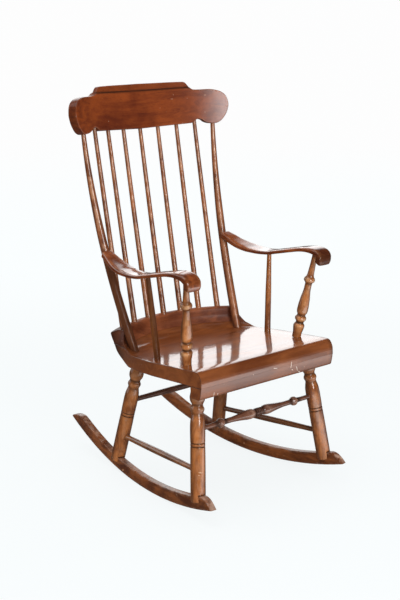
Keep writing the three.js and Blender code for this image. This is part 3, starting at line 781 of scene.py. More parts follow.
CREST_FINISH = WoodFinish(
    "crest_varnish", "crest_board", Grain.ACROSS, dark=(0.115, 0.019, 0.005), light=(0.27, 0.053, 0.0085),
    worn_and_lit=(0.36, 0.15, 0.07), broad_scale=8.0, streak_scale=36.0, coat_roughness=0.24,
    marks=(
        Mark((0.1098, 0.2758, 1.0414), (0.005, 0.01, 0.0025)),
        Mark((0.2119, 0.2464, 1.0495), (0.004, 0.01, 0.003)),
        Mark((0.2076, 0.2414, 1.0003), (0.003, 0.01, 0.002)),
    ),
    bare=(0.27, 0.1, 0.05),
)
SEAT_FINISH = WoodFinish(
    "seat_varnish", "seat_board", Grain.ACROSS, dark=(0.13, 0.032, 0.008), light=(0.27, 0.078, 0.02),
    worn_and_lit=(0.34, 0.16, 0.09), broad_scale=6.0, streak_scale=26.0, coat_roughness=0.09, coat_weight=1.0,
    ripple=0.0004, pore_amount=0.06, body_shine=0.1,
    marks=(
        Mark((0.0800, -0.2620, 0.3630), (0.0016, 0.012, 0.0125), (0.0, 0.12, 0.0)),
        Mark((0.0860, -0.2600, 0.3470), (0.0045, 0.012, 0.0014), (0.0, 0.5, 0.0)),
        Mark((0.1046, -0.2604, 0.3460), (0.0014, 0.012, 0.0100), (0.0, -0.45, 0.0)),
        Mark((0.1160, -0.2570, 0.3350), (0.0080, 0.012, 0.0014), (0.0, 0.5, 0.0)),
        Mark((-0.1966, -0.2592, 0.3394), (0.0014, 0.012, 0.0070)),
        Mark((-0.1830, -0.2592, 0.3360), (0.0013, 0.012, 0.0050), (0.0, -0.2, 0.0)),
        Mark((0.0200, -0.2620, 0.3650), (0.0100, 0.012, 0.0012), (0.0, 0.25, 0.0)),
    ),
)
ROLL_FINISH = WoodFinish(
    "roll_varnish", "seat_board", Grain.ACROSS, dark=(0.12, 0.026, 0.009), light=(0.32, 0.09, 0.03),
    worn_and_lit=(0.34, 0.16, 0.09), broad_scale=9.0, streak_scale=30.0, coat_roughness=0.45, coat_weight=0.4,
)
ARM_FINISH = WoodFinish(
    "arm_varnish", "arm_wood", Grain.BACKWARDS, dark=(0.1, 0.02, 0.006), light=(0.3, 0.075, 0.018),
    worn_and_lit=(0.45, 0.19, 0.07), coat_roughness=0.1, coat_weight=1.0, coat_ior=1.55, ripple=0.0,
)
# Its pale worn colour on the ring crests is partly real wear and partly a painted highlight.
POST_FINISH = WoodFinish(
    "post_varnish", "turned_wood", Grain.UPRIGHT, dark=(0.2, 0.058, 0.016), light=(0.56, 0.2, 0.06),
    worn_and_lit=(0.76, 0.44, 0.22), broad_scale=16.0, wear_and_highlight_amount=0.5, coat_weight=1.0, coat_roughness=0.07,
)
TURNED_FINISH = WoodFinish(
    "turned_varnish", "turned_wood", Grain.UPRIGHT, dark=(0.18, 0.05, 0.013), light=(0.5, 0.17, 0.046),
    worn_and_lit=(0.62, 0.37, 0.22), broad_scale=16.0, wear_and_highlight_amount=0.36, coat_weight=1.0, coat_roughness=0.14,
    marks=(
        Mark((-0.2360, -0.2512, 0.1310), (0.0065, 0.008, 0.0017), (0.0, 0.25, 0.0)),
        Mark((-0.2400, -0.2489, 0.1240), (0.003, 0.008, 0.0014), (0.0, 0.2, 0.0)),
    ),
    bare=(0.62, 0.37, 0.22),
)
SPINDLE_FINISH = WoodFinish(
    "spindle_varnish", "turned_wood", Grain.UPRIGHT, dark=(0.16, 0.044, 0.012), light=(0.46, 0.155, 0.042),
    worn_and_lit=(0.62, 0.37, 0.22), broad_scale=16.0, wear_and_highlight_amount=0.36, coat_weight=1.0, coat_roughness=0.12,
    grime_and_shade=(0.062, 0.018, 0.005),
)
CROSSING_FINISH = WoodFinish(
    "stretcher_varnish", "turned_wood", Grain.ACROSS, dark=(0.07, 0.025, 0.016), light=(0.2, 0.08, 0.045),
    worn_and_lit=(0.42, 0.25, 0.18), broad_scale=16.0, coat_weight=1.0, wear_and_highlight_amount=0.6, coat_roughness=0.08,
    grime_and_shade=(0.04, 0.02, 0.014),
)
SIDE_RAIL_FINISH = WoodFinish(
    "side_rail_varnish", "rocker_wood", Grain.BACKWARDS, dark=(0.11, 0.035, 0.009),
    light=(0.31, 0.11, 0.034), worn_and_lit=(0.4, 0.2, 0.1), broad_scale=14.0,
)
ROD_FINISH = WoodFinish(
    "rod_varnish", "bent_wood", Grain.UPRIGHT, dark=(0.13, 0.034, 0.013), light=(0.42, 0.145, 0.052),
    worn_and_lit=(0.72, 0.42, 0.27), broad_scale=14.0, coat_roughness=0.12, coat_weight=1.0, wear_and_highlight_amount=0.9,
    grime_and_shade=(0.05, 0.015, 0.006),
)
STILE_FINISH = WoodFinish(
    "stile_varnish", "bent_wood", Grain.UPRIGHT, dark=(0.13, 0.038, 0.016), light=(0.38, 0.13, 0.05),
    worn_and_lit=(0.78, 0.45, 0.27), broad_scale=11.0, coat_roughness=0.12, coat_weight=1.0, wear_and_highlight_amount=0.9,
    grime_and_shade=(0.05, 0.015, 0.006),
)
ROCKER_FINISH = WoodFinish(
    "rocker_varnish", "rocker_wood", Grain.BACKWARDS, dark=(0.09, 0.022, 0.006), light=(0.3, 0.088, 0.022),
    worn_and_lit=(0.5, 0.34, 0.26), broad_scale=13.0, wear_and_highlight_amount=0.75, coat_weight=0.4,
    marks=(
        Mark((-0.2087, 0.1192, 0.0167), (0.02, 0.006, 0.003), (-0.3, 0.0, 0.0)),
        Mark((0.1973, 0.0478, 0.0181), (0.02, 0.003, 0.0035)),
    ),
    bare=(0.42, 0.2, 0.1),
)
PEG_FINISH = WoodFinish(
    "peg_end_grain", "peg_wood", Grain.ACROSS, dark=(0.12, 0.05, 0.022), light=(0.26, 0.11, 0.05),
    worn_and_lit=(0.4, 0.2, 0.1), broad_scale=40.0,
)


def add_piece(node: str, shape: Shape, finish: WoodFinish, crisp: float = 55.0) -> bpy.types.Object:
    """Makes a surface the visible form of a frame node.

    Its corners that coincide are merged, its faces turned outwards, and it rides on the chair.

    Args:
        node: the node that it stands for.
        shape: the surface, with Y measured from the line where the rockers touch the floor.
        finish: what it is dressed in.
        crisp: the angle, in degrees, above which an edge is drawn sharp.

    Returns:
        The new object.
    """
    mesh = bpy.data.meshes.new(f"{node}_wood")
    corners = shape.corners + np.array([0.0, CONTACT_Y, 0.0])
    mesh.from_pydata(corners.tolist(), [], shape.faces)
    for name, values in (("wear_and_highlight", shape.wear_and_highlight), ("grime_and_shade", shape.grime_and_shade)):
        attribute = mesh.attributes.new(name, "FLOAT", "POINT")
        attribute.data.foreach_set("value", np.ascontiguousarray(values, dtype=np.float32))
    work = bmesh.new()
    work.from_mesh(mesh)
    bmesh.ops.remove_doubles(work, verts=work.verts, dist=2e-6)
    bmesh.ops.dissolve_degenerate(work, edges=work.edges, dist=1e-7)
    bmesh.ops.recalc_face_normals(work, faces=work.faces)
    work.to_mesh(mesh)
    work.free()
    mesh.shade_smooth()
    mesh.set_sharp_from_angle(angle=math.radians(crisp))
    mesh.materials.append(finish.material())
    piece = bpy.data.objects.new(f"{node}_wood", mesh)
    bpy.context.collection.objects.link(piece)
    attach(piece, BODY)
    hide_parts(node)
    log.info("%s: %d corners, %d faces", piece.name, len(mesh.vertices), len(mesh.polygons))
    return piece


# Sub-assemblies


@dataclass
class Rockers:
    """The two bowed boards that the chair rolls on, and where the legs meet them."""

    spread: float = 0.424
    toe: float = math.radians(6.16)
    thickness: float = 0.019
    depth: float = 0.0335
    end_growth: float = 0.005
    front_radius: float = 1.0517
    rear_radius: float = 0.955
    front_reach: float = 0.317
    rear_reach: float = 0.414
    nose_length: float = 0.045
    tail_length: float = 0.074
    arris: float = 0.0022
    # Columns of corners: those that crowd towards both ends, and the even ones between them.
    crowded_columns: int = 260
    even_columns: int = 120
    # Wear on the edges, their width in roundings, how far up the nose in nose lengths, and the least
    # there. Then grime on the sole: how far up in depths of the board, and the most.
    edge_wear: float = 0.5
    edge_width: float = 2.2
    worn_nose: float = 1.3
    nose_wear: float = 0.05
    sole_grime: Pair = (0.5, 0.3)
    # Rows of share of the nose's or the tail's length and share of the board's depth.
    nose_shares: Rows = ((0.1, 0.16), (0.28, 0.42), (0.44, 0.61), (0.62, 0.79), (0.85, 0.94), (1, 1))
    tail_shares: Rows = ((0.03, 0.12), (0.12, 0.27), (0.3, 0.52), (0.55, 0.8), (0.8, 0.97), (1, 1))

    def bottom(self, run: np.ndarray) -> np.ndarray:
        """Height of the sole at a distance from its middle: two arcs that meet at the floor."""
        radius = np.where(run < 0, self.front_radius, self.rear_radius)
        return radius - np.sqrt(radius**2 - run**2)

    def depth_at(self, run: np.ndarray) -> np.ndarray:
        """Depth of the board, a little more towards both ends."""
        return self.depth + self.end_growth * (run / self.front_reach) ** 2

    def side_x(self, y: float) -> float:
        """Distance of a rocker's middle from the chair's middle, at a place along the chair."""
        return self.spread / 2 - y * math.tan(self.toe)

    def run_at(self, y: float) -> float:
        """Distance along the rocker at a place along the chair."""
        return y / math.cos(self.toe)

    def heights(self, run: np.ndarray) -> tuple[np.ndarray, np.ndarray]:
        """Height of the sole and of the top, which comes down to it at the nose and the tail.

        The depth is multiplied by the eased shares at the nose and at the tail.

        Args:
            run: distances along the rocker from where it touches the floor.

        Returns:
            The two heights at each distance.
        """
        from_nose = ramp(run, -self.front_reach, self.nose_length)
        from_tail = ramp(run, self.rear_reach, -self.tail_length)
        nose = eased([(0, 0.0), *self.nose_shares], from_nose)
        tail = eased([(0, 0.0), *self.tail_shares], from_tail)
        low = self.bottom(run)
        return low, low + self.depth_at(run) * nose * tail

    def make(self, name: str) -> bpy.types.Object:
        """Builds and dresses the rocker of one side.

        The board is made flat along its run, then turned about an upright axis by the toe. Its
        edges are worn, most of all at the nose, and its sole is grimy.

        Args:
            name: left or right.

        Returns:
            The rocker.
        """
        side = SIDES[name]
        crowded = np.sin(np.linspace(-np.pi / 2, np.pi / 2, self.crowded_columns)) / 2 + 0.5
        even = np.linspace(0, 1, self.even_columns)
        columns = np.unique(np.concatenate([crowded, even]))
        columns = columns * (self.front_reach + self.rear_reach) - self.front_reach
        low, high = self.heights(columns)
        sole, top = np.stack([columns, low], 1), np.stack([columns, high], 1)
        line = np.vstack([sole, top[::-1]])
        flat, faces, gap = board(line, columns, low, high, self.thickness, self.arris, inner_rows=6)
        run, out, height = flat.T
        x = side * self.spread / 2 + out * math.cos(self.toe) - side * run * math.sin(self.toe)
        y = side * out * math.sin(self.toe) + run * math.cos(self.toe)
        wear_and_highlight = close(gap, self.edge_width * self.arris) * self.edge_wear
        nose = -run - self.front_reach + self.worn_nose * self.nose_length
        nose = np.clip(nose / self.nose_length, 0, 1)
        wear_and_highlight = np.clip(wear_and_highlight * (1 + nose), self.nose_wear * nose, 1)
        reach, most = self.sole_grime
        grime_and_shade = np.clip(reach - (height - self.bottom(run)) / self.depth, 0, most)
        shape = Shape(np.stack([x, y, height], 1), faces, wear_and_highlight, grime_and_shade)
        return add_piece(f"rocker_{name}", shape, ROCKER_FINISH)


LEG_TURNING: Table = [
    (0, 0.9), (0.008, 0.98), (0.089, 1.02), (0.241, 1.02), (0.417, 1), (0.4215, 0.985), (0.424, 0.915),
    (0.4265, 0.985), (0.431, 1), (0.443, 1), (0.4475, 0.985), (0.45, 0.915), (0.4525, 0.985), (0.457, 1),
    (0.555, 1.02), (0.615, 0.98), (0.651, 0.86), (0.674, 0.78), (0.686, 0.82), (0.696, 0.9), (0.705, 0.93),
    (0.716, 0.9), (0.726, 0.8), (0.741, 0.75), (0.755, 0.84), (0.775, 0.99), (0.798, 1.03), (0.823, 0.96),
    (0.848, 0.84), (0.879, 0.73), (0.919, 0.66), (1, 0.61),
]
FRONT_RAIL_TURNING: Table = [
    (0, 0.66), (0.006, 0.78), (0.014, 0.82), (0.022, 0.78), (0.028, 0.64), (0.034, 0.77), (0.042, 0.81),
    (0.05, 0.77), (0.056, 0.63), (0.075, 0.74), (0.105, 0.92), (0.15, 1), (0.19, 0.97), (0.25, 0.85),
    (0.32, 0.72), (0.4, 0.6), (0.48, 0.53), (0.57, 0.53), (0.6, 0.58), (0.615, 0.7), (0.635, 0.87),
    (0.655, 0.94), (0.675, 0.88), (0.695, 0.68), (0.71, 0.56), (0.76, 0.48), (0.88, 0.47), (1, 0.48),
]
PLAIN_RAIL_TURNING: Table = [
    (0, 0.84), (0.08, 0.84), (0.3, 0.95), (0.5, 1), (0.7, 0.95), (0.92, 0.84), (1, 0.84),
]
PEG_TURNING: Table = [(0, 0.8), (0.02, 1), (0.98, 1), (1, 0.8)]


@dataclass
class Underframe:
    """Four turned legs, slotted over the rockers, with their pegs and stretchers."""

    rockers: Rockers
    seat: "Seat"
    leg_radius: float = 0.0197
    tenon_depth: float = 0.0297
    cheek_share: float = 0.5
    peg_share: float = 0.75
    slot_headroom: float = 0.0028
    slot_edge: float = 0.001
    feet_y: Pair = (-0.2455, 0.164)
    tops: tuple[Pair, Pair] = ((0.1979, -0.1944), (0.1582, 0.0904))
    tenon_reach: float = 0.012
    peg_radius: float = 0.0035
    peg_reach: float = 0.95
    peg_play: float = 0.0003
    side_radius: float = 0.0088
    side_heights: Pair = (0.129, 0.1095)
    rear_radius: float = 0.0088
    rear_height: float = 0.218
    front_radius: float = 0.0137
    front_height: float = 0.235
    # Painted shade on the far right pieces, and painted shade under the seat on the legs' tops, from a
    # height and over a stretch.
    far_side_shade: float = 0.5
    under_seat_shade: float = 0.35
    under_seat_from: Pair = (0.27, 0.03)

    def leg_line(self, row: int, side: float) -> tuple[np.ndarray, np.ndarray]:
        """Foot and top of a leg's axis.

        Args:
            row: 0 for the front legs, 1 for the rear legs.
            side: -1 for the left, 1 for the right.

        Returns:
            The two points.
        """
        y = self.feet_y[row]
        run = self.rockers.run_at(y)
        x = self.rockers.side_x(y)
        z = float(self.rockers.bottom(run) + (1 - self.cheek_share) * self.rockers.depth_at(run))
        top_x, top_y = self.tops[row]
        top_z = float(self.seat.underside(top_y)) + self.tenon_depth
        return np.array([side * x, y, z]), np.array([side * top_x, top_y, top_z])

    def on_leg(self, row: int, side: float, height: float) -> np.ndarray:
        """Point of a leg's axis at a height."""
        foot, top = self.leg_line(row, side)
        return foot + (top - foot) * (height - foot[2]) / (top[2] - foot[2])

    def make_leg(self, row: int, name: str) -> bpy.types.Object:
        """A leg as a surface turned about its axis, with painted shade where its slot is open over the
        rocker.

        The slot is open where a corner is within half the rocker's thickness of the rocker's
        middle plane, and just over the rocker's top.

        Args:
            row: 0 for a front leg, 1 for a rear leg.
            name: left or right.

        Returns:
            The leg.
        """
        end = ("front", "rear")[row]
        side = SIDES[name]
        foot, top = self.leg_line(row, side)
        shape = turned(foot, top, LEG_TURNING, self.leg_radius, rings=260, facets=72)
        toe = side * self.rockers.toe
        x, y, z = shape.corners.T
        x = x - side * self.rockers.spread / 2
        out = x * math.cos(toe) + y * math.sin(toe)
        run = y * math.cos(toe) - x * math.sin(toe)
        over = z - self.rockers.heights(run)[1]
        inside = np.abs(out) < self.rockers.thickness / 2
        open_slot = inside & (over > -self.slot_edge) & (over < self.slot_headroom)
        # Painted shade under the seat on the leg's top and on the far right rear leg, and in the open
        # slot.
        under_seat = ramp(z, *self.under_seat_from) * self.under_seat_shade
        under_seat = np.maximum(under_seat, self.far_side_shade if (row, name) == (1, "right") else 0.0)
        shape = shape.darkened(np.where(open_slot, 1.0, under_seat), ~open_slot)
        return add_piece(f"{end}_leg_{name}", shape, TURNED_FINISH)

    def make_peg(self, row: int, name: str) -> bpy.types.Object:
        """The peg through a leg's cheeks, a plain round rod with softened ends.

        Args:
            row: 0 for a front leg, 1 for a rear leg.
            name: left or right.

        Returns:
            The peg.
        """
        end = ("front", "rear")[row]
        side = SIDES[name]
        run = self.rockers.run_at(self.feet_y[row])
        toe = self.rockers.toe
        height = float(self.rockers.bottom(run) + self.peg_share * self.rockers.depth_at(run))
        x = side * (self.rockers.spread / 2 - math.sin(toe) * run)
        middle = np.array([x, math.cos(toe) * run, height])
        way = np.array([math.cos(toe), side * math.sin(toe), 0.0])
        way = way * (self.leg_radius * self.peg_reach - self.peg_play)
        shape = turned(middle - way, middle + way, PEG_TURNING, self.peg_radius, rings=12, facets=20)
        return add_piece(f"{end}_peg_{name}", shape, PEG_FINISH)

    def rail(self, node: str, start: np.ndarray, end: np.ndarray, shares: Table, radius: float,
             finish: WoodFinish, darkening: float = 0.0) -> bpy.types.Object:
        """A turned rail from one leg's axis to another's, stopped inside both.

        Args:
            node: the node that it stands for.
            start: a point on one leg's axis.
            end: a point on the other's.
            shares: its turning.
            radius: the radius that the turning follows.
            finish: what it is dressed in.
            darkening: least painted shade anywhere on it.

        Returns:
            The rail.
        """
        inset = unit(end - start) * (self.leg_radius - self.tenon_reach)
        shape = turned(start + inset, end - inset, shares, radius, facets=36)
        return add_piece(node, shape.darkened(darkening), finish)

    def make(self) -> None:
        """Builds and dresses every piece under the seat."""
        for name, side in SIDES.items():
            self.rockers.make(name)
            for row in (0, 1):
                self.make_leg(row, name)
                self.make_peg(row, name)
            front, rear = (self.on_leg(row, side, self.side_heights[row]) for row in (0, 1))
            self.rail(f"side_stretcher_{name}", front, rear, PLAIN_RAIL_TURNING, self.side_radius,
                      SIDE_RAIL_FINISH, self.far_side_shade * (side > 0))
        other_way = [((1 - place) / 2, wide) for place, wide in FRONT_RAIL_TURNING[::-1]]
        both_ways = other_way[:-1] + [((1 + place) / 2, wide) for place, wide in FRONT_RAIL_TURNING]
        ends = [self.on_leg(0, side, self.front_height) for side in (-1.0, 1.0)]
        self.rail("front_stretcher", *ends, both_ways, self.front_radius, CROSSING_FINISH)
        ends = [self.on_leg(1, side, self.rear_height) for side in (-1.0, 1.0)]
        self.rail("rear_stretcher", *ends, PLAIN_RAIL_TURNING, self.rear_radius, CROSSING_FINISH,
                  self.far_side_shade)


@dataclass
class Seat:
    """The rolled seat: a plank with a cove, a strip under its nose and a curved roll behind."""

    width: float = 0.488
    depth: float = 0.420
    front_y: float = -0.263
    top_height: float = 0.4055
    tilt: float = math.radians(4.96)
    underside_tilt: float = math.radians(3.8)
    front_drop: float = 0.0755
    strip_depth: float = 0.042
    arc_radius: float = 0.350
    arc_y: float = 0.186
    crown_height: float = 0.433
    glue_height: float = 0.390
    roll_thickness: float = 0.040
    crown_width: float = 0.416
    glue_width: float = 0.450
    joint: float = 0.0003
    arris: float = 0.0014
    cove_softness: float = 0.004
    heel_softness: float = 0.003
    rear_ease: float = 0.03
    # How finely it is made: sections across, points of a curve, columns of the flat with the power
    # that spaces them, the power that spaces the underside, and rounds of finding an end.
    columns: int = 110
    curve_points: int = 60
    edge_points: int = 26
    strip_points: int = 24
    flat_columns: int = 90
    flat_spacing: float = 0.8
    under_spacing: float = 1.2
    rounds: int = 12
    roll_rounds: int = 8

    # Rows of share of the depth and share of the width. Then sections, as the methods take them.
    side_shares: Rows = ((0, 1), (0.483, 1), (0.59, 0.983), (0.775, 0.937), (0.865, 0.899), (1, 0.868),
                         (2, 0.868))
    nose_shares: Rows = ((0.56, 0), (0.44, 0), (0.32, 0.02), (0.2, 0.1), (0.083, 0.24), (0.012, 0.48),
                         (0, 0.8))
    strip_shares: Rows = ((0.56, 0), (0.7, 0.03), (0.85, 0.08), (0.95, 0.13), (1, 0.24))
    roll_front: Rows = ((-0.53, 1), (-0.43, 0.86), (-0.33, 0.7), (-0.28, 0.55), (-0.27, 0.36),
                        (-0.25, 0.16), (-0.16, 0.05), (0.06, 0))
    roll_back: Rows = ((0.06, 0), (0.32, 0.06), (0.7, 0.23), (0.92, 0.33), (0.98, 0.42), (0.88, 0.66),
                       (0.64, 1))
    cove: Rows = ((-3.4, 1.6), (-2.4, 1.56), (-1.8, 1.5), (-1.3, 1.36), (-0.9, 1.2), (-0.53, 1))
    heel: Rows = ((-2.6, 2.5), (-1.15, 2.36), (-0.65, 2.09), (0.08, 1.68), (0.38, 1.42), (0.64, 1))

    # Darkening on the rounded side edges and the plain side faces, and on the back roll's ends; painted
    # shade towards the rounded right end; darkening at the rear left corner, the last two with where they
    # start and their stretch.
    edge_darkening: float = 0.8
    face_darkening: float = 0.05
    roll_end_darkening: float = 0.75
    right_end_shade: float = 0.7
    right_from: Pair = (0.93, 0.07)
    left_corner_darkening: float = 1.0
    left_from: Pair = (-0.64, -0.18)
    rear_from: Pair = (0.05, 0.08)
    # Wear: on the plank's nose, with its rows of corners, on the strip's edge and on the back roll.
    nose_wear: float = 0.15
    nose_rows: tuple[int, int] = (20, 30)
    strip_wear: Pair = (0.006, 0.8)
    crown_wear: Pair = (0.004, 0.2)

    def half_width(self, y: np.ndarray) -> np.ndarray:
        """Half the seat's width at a place along the chair."""
        return np.interp((y - self.front_y) / self.depth, *np.array(self.side_shares).T) * self.width / 2

    def top(self, y: np.ndarray) -> np.ndarray:
        """Height of the flat of the seat."""
        return self.top_height - (y - self.front_y) * math.tan(self.tilt)

    def nose(self, shares: Rows, count: int) -> np.ndarray:
        """Front edge from shares of the drop and of the strip's depth.

        Args:
            shares: rows of share of the drop below the flat and share of the depth behind the front.
            count: how many points are wanted.

        Returns:
            Rows of y and height.
        """
        down, behind = np.array(shares).T
        y = self.front_y + behind * self.strip_depth
        return smooth_path(np.stack([y, self.top(y) - down * self.front_drop], axis=1), count)

    def underside(self, y: np.ndarray) -> np.ndarray:
        """Height of the plank's underside, which starts from the lowest corner of its nose."""
        lowest = self.top_height - self.nose_shares[0][0] * self.front_drop
        return lowest - (y - self.front_y) * math.tan(self.underside_tilt)

    def distance_out(self, x: np.ndarray, y: np.ndarray) -> np.ndarray:
        """Distance of points out from the crown's arc, which runs about the back's centre."""
        return np.hypot(x, y - self.arc_y + self.arc_radius) - self.arc_radius

    def on_arc(self, x: np.ndarray, out: np.ndarray) -> np.ndarray:
        """Y of points out from the crown's arc: the centre plus the root of r squared less x squared."""
        return self.arc_y - self.arc_radius + np.sqrt((self.arc_radius + out) ** 2 - x**2)

    def outward(self, shares: Rows, count: int) -> np.ndarray:
        """Points of the back's section.

        Args:
            shares: rows of share of the roll's thickness out from the crown's arc and share of the
                rise from the glue face to the crown, measured down.
            count: how many points are wanted.

        Returns:
            Rows of distance out from the crown's arc and height.
        """
        out, down = np.array(shares).T
        height = self.crown_height - down * (self.crown_height - self.glue_height)
        return smooth_path(np.stack([out * self.roll_thickness, height], axis=1), count)

    def arc_place(self, out: np.ndarray, column: np.ndarray) -> tuple[np.ndarray, np.ndarray]:
        """Place of points on arcs about the back's centre, a share of the way across the seat.

        Y is the centre plus the root of the arc's radius squared less x squared. X is the share
        times the half width at that y, found by putting each into the other a few times.

        Args:
            out: distance out from the crown's arc.
            column: share across the seat, from -1 to 1.

        Returns:
            X and Y.
        """
        y = np.full(np.broadcast(out, column).shape, self.arc_y)
        for _ in range(self.rounds):
            x = column * self.half_width(y)
            y = self.on_arc(x, out)
        return x, y

    def section_rows(self) -> np.ndarray:
        """Shares across the seat, from -1 to 1."""
        return np.linspace(-1, 1, self.columns)[:, None]

    def sweep(self, node: str, x: np.ndarray, y: np.ndarray, z: np.ndarray, wear_and_highlight: np.ndarray,
              finish: WoodFinish, end_darkening: float) -> bpy.types.Object:
        """Makes a piece of the seat from its section loops, with rounded side edges.

        Args:
            node: the node that it stands for.
            x: X of the loops' corners, by section and place round it.
            y: the same for Y.
            z: the same for Z.
            wear_and_highlight: the same for wear.
            finish: what it is dressed in.
            end_darkening: darkening on the two end faces.

        Returns:
            The piece.
        """
        loops = np.stack(np.broadcast_arrays(x, y, z), axis=-1)
        across = np.array([1.0, 0.0, 0.0])
        whole = softened(loops, across, self.arris)
        added = (len(whole) - len(loops)) // 2
        worn_and_lit = np.broadcast_to(wear_and_highlight, loops.shape[:2])
        worn_and_lit = np.concatenate([np.repeat(worn_and_lit[:1], added, 0), worn_and_lit, np.repeat(worn_and_lit[-1:], added, 0)])
        grime_and_shade = np.zeros_like(worn_and_lit)
        for end, face in ((slice(0, added), 0), (slice(-added, None), -1)):
            worn_and_lit[end] = 0
            grime_and_shade[end] = self.edge_darkening
            grime_and_shade[face] = end_darkening
        across = whole[..., 0] / (self.width / 2)
        # Painted shade where the right end rounds away, and darkening at the rear left corner.
        right = ramp(across, *self.right_from) * self.right_end_shade
        corner = ramp(across, *self.left_from) * ramp(whole[..., 1], *self.rear_from)
        grime_and_shade = np.maximum(grime_and_shade, np.maximum(right, corner * self.left_corner_darkening))
        return add_piece(node, laddered(whole, worn_and_lit, grime_and_shade), finish, crisp=42.0)

    def make_plank(self) -> bpy.types.Object:
        """The plank: rolled nose, tilted flat, cove, glue face, heel and underside.

        Along the top, the height is the greater of the flat's and the cove's, made soft where
        they meet. Below, the same holds for the underside and the heel.

        Returns:
            The plank.
        """
        column = self.section_rows()
        nose = self.nose(self.nose_shares, self.edge_points)
        glue_top = self.glue_height - self.joint
        glue_out = np.linspace(self.cove[-1][0], self.heel[-1][0], 8)[None] * self.roll_thickness
        share = np.linspace(0, 1, self.flat_columns)[1:] ** self.flat_spacing
        _, end_y = self.arc_place(glue_out[:, :1], column)
        flat_y = nose[-1, 0] + share[None] * (end_y - nose[-1, 0])
        flat_x = column * self.half_width(flat_y)
        level = self.top(flat_y)
        curve = self.outward(self.cove, self.curve_points)
        cove = np.interp(self.distance_out(flat_x, flat_y), *curve.T) - self.joint
        flat_z = greater(level, cove, self.cove_softness)
        flat_z = np.where(cove > level, np.minimum(flat_z, glue_top), flat_z)
        glue_x, glue_y = self.arc_place(glue_out[:, 1:], column)
        glue_z = np.full_like(glue_y, glue_top)
        nose_y = np.broadcast_to(nose[:, 0], (len(column), len(nose)))
        nose_x = column * self.half_width(nose_y)
        nose_z = np.broadcast_to(nose[:, 1], nose_y.shape)
        upper = [np.concatenate(rows, axis=1) for rows in
                 ((nose_x, flat_x, glue_x), (nose_y, flat_y, glue_y), (nose_z, flat_z, glue_z))]
        count = upper[0].shape[1]
        low_y = nose[0, 0]
        share = 1 - np.linspace(0, 1, count) ** self.under_spacing
        under_y = low_y + share[None] * (glue_y[:, -1:] - low_y)
        under_x = column * self.half_width(under_y)
        level = self.underside(under_y)
        curve = self.outward(self.heel, self.curve_points)
        heel = np.interp(self.distance_out(under_x, under_y), *curve.T)
        under_z = greater(level, heel, self.heel_softness)
        ends = ramp(np.minimum(share, 1 - share), 0, self.rear_ease)[None]
        under_z = np.where(ends < 1, np.maximum(level, heel) * (1 - ends) + under_z * ends, under_z)
        x, y, z = (np.concatenate(pair, axis=1) for pair in zip(upper, (under_x, under_y, under_z)))
        wear_and_highlight = np.zeros(x.shape[1])
        wear_and_highlight[slice(*self.nose_rows)] = self.nose_wear
        return self.sweep("seat_plank", x, y, z, wear_and_highlight, SEAT_FINISH, self.face_darkening)

    def make_strip(self) -> bpy.types.Object:
        """The strip under the nose, its front carrying the nose's curve on.

        Returns:
            The strip.
        """
        column = self.section_rows()
        front = self.nose(self.strip_shares, self.strip_points)
        front_y, glue = front[0]
        rear_y = self.front_y + self.strip_depth
        back_y = np.linspace(front_y, rear_y, self.strip_points)
        glued = glue - (back_y - front_y) * math.tan(self.underside_tilt) - self.joint
        front[:, 1] = np.minimum(front[:, 1], glue - self.joint)
        under = np.linspace(front[-1, 0], rear_y, self.strip_points // 2)[1:]
        upper = np.vstack([np.stack([back_y, glued], 1), [[rear_y, glued[-1]]]])
        floor = np.vstack([front, np.stack([under, np.full(len(under), front[-1, 1])], 1)])
        lower = even_rows(floor, len(upper))[::-1]
        loop = np.vstack([upper, lower])
        y = np.broadcast_to(loop[:, 0], (len(column), len(loop)))
        width, most = self.strip_wear
        wear_and_highlight = np.minimum(close(np.abs(loop[:, 1] - front[-1, 1]), width), most)
        return self.sweep("seat_front_roll", column * self.half_width(y), y, loop[:, 1], wear_and_highlight,
                          SEAT_FINISH, self.face_darkening)

    def make_back_roll(self) -> bpy.types.Object:
        """The roll behind the sitter's hips: one section turned about the back's centre.

        Its half width is the seat's, or less where the ends lean in, found by putting the width
        and the arc's y into each other a few times.

        Returns:
            The roll.
        """
        column = self.section_rows()
        front = self.outward(self.roll_front, self.edge_points)
        back = self.outward(self.roll_back, self.edge_points)
        glued = np.linspace(back[-1], front[0], 14)[1:-1]
        ring = np.vstack([front, back[1:], glued])
        if len(ring) % 2:
            ring = np.vstack([ring, (ring[-1:] + ring[:1]) / 2])
        _, y = self.arc_place(ring[None, :, 0], column)
        span = [self.glue_height, self.crown_height]
        lean = np.interp(ring[:, 1], span, [self.glue_width / 2, self.crown_width / 2])
        widest = np.minimum(self.half_width(y[-1]), lean)
        for _ in range(self.roll_rounds):
            x = column * widest[None]
            y = self.on_arc(x, ring[None, :, 0])
            widest = np.minimum(self.half_width(y[-1]), lean)
        width, most = self.crown_wear
        wear_and_highlight = np.minimum(close(np.abs(ring[:, 1] - self.crown_height), width), most)
        return self.sweep("seat_back_roll", x, y, ring[:, 1], wear_and_highlight, ROLL_FINISH, self.roll_end_darkening)

    def make(self) -> None:
        """Builds and dresses the seat's three pieces."""
        self.make_plank()
        self.make_strip()
        self.make_back_roll()


STILE_TURNING: Table = [
    (0, 0.98), (0.1, 1.03), (0.2, 1.01), (0.4, 0.97), (0.5, 0.94), (0.62, 0.84), (0.75, 0.73),
    (0.87, 0.63), (1, 0.53),
]
BACK_SPINDLE_TURNING: Table = [(0, 1.12), (0.1, 1.08), (0.28, 1.01), (0.5, 0.94), (0.75, 0.86), (1, 0.77)]


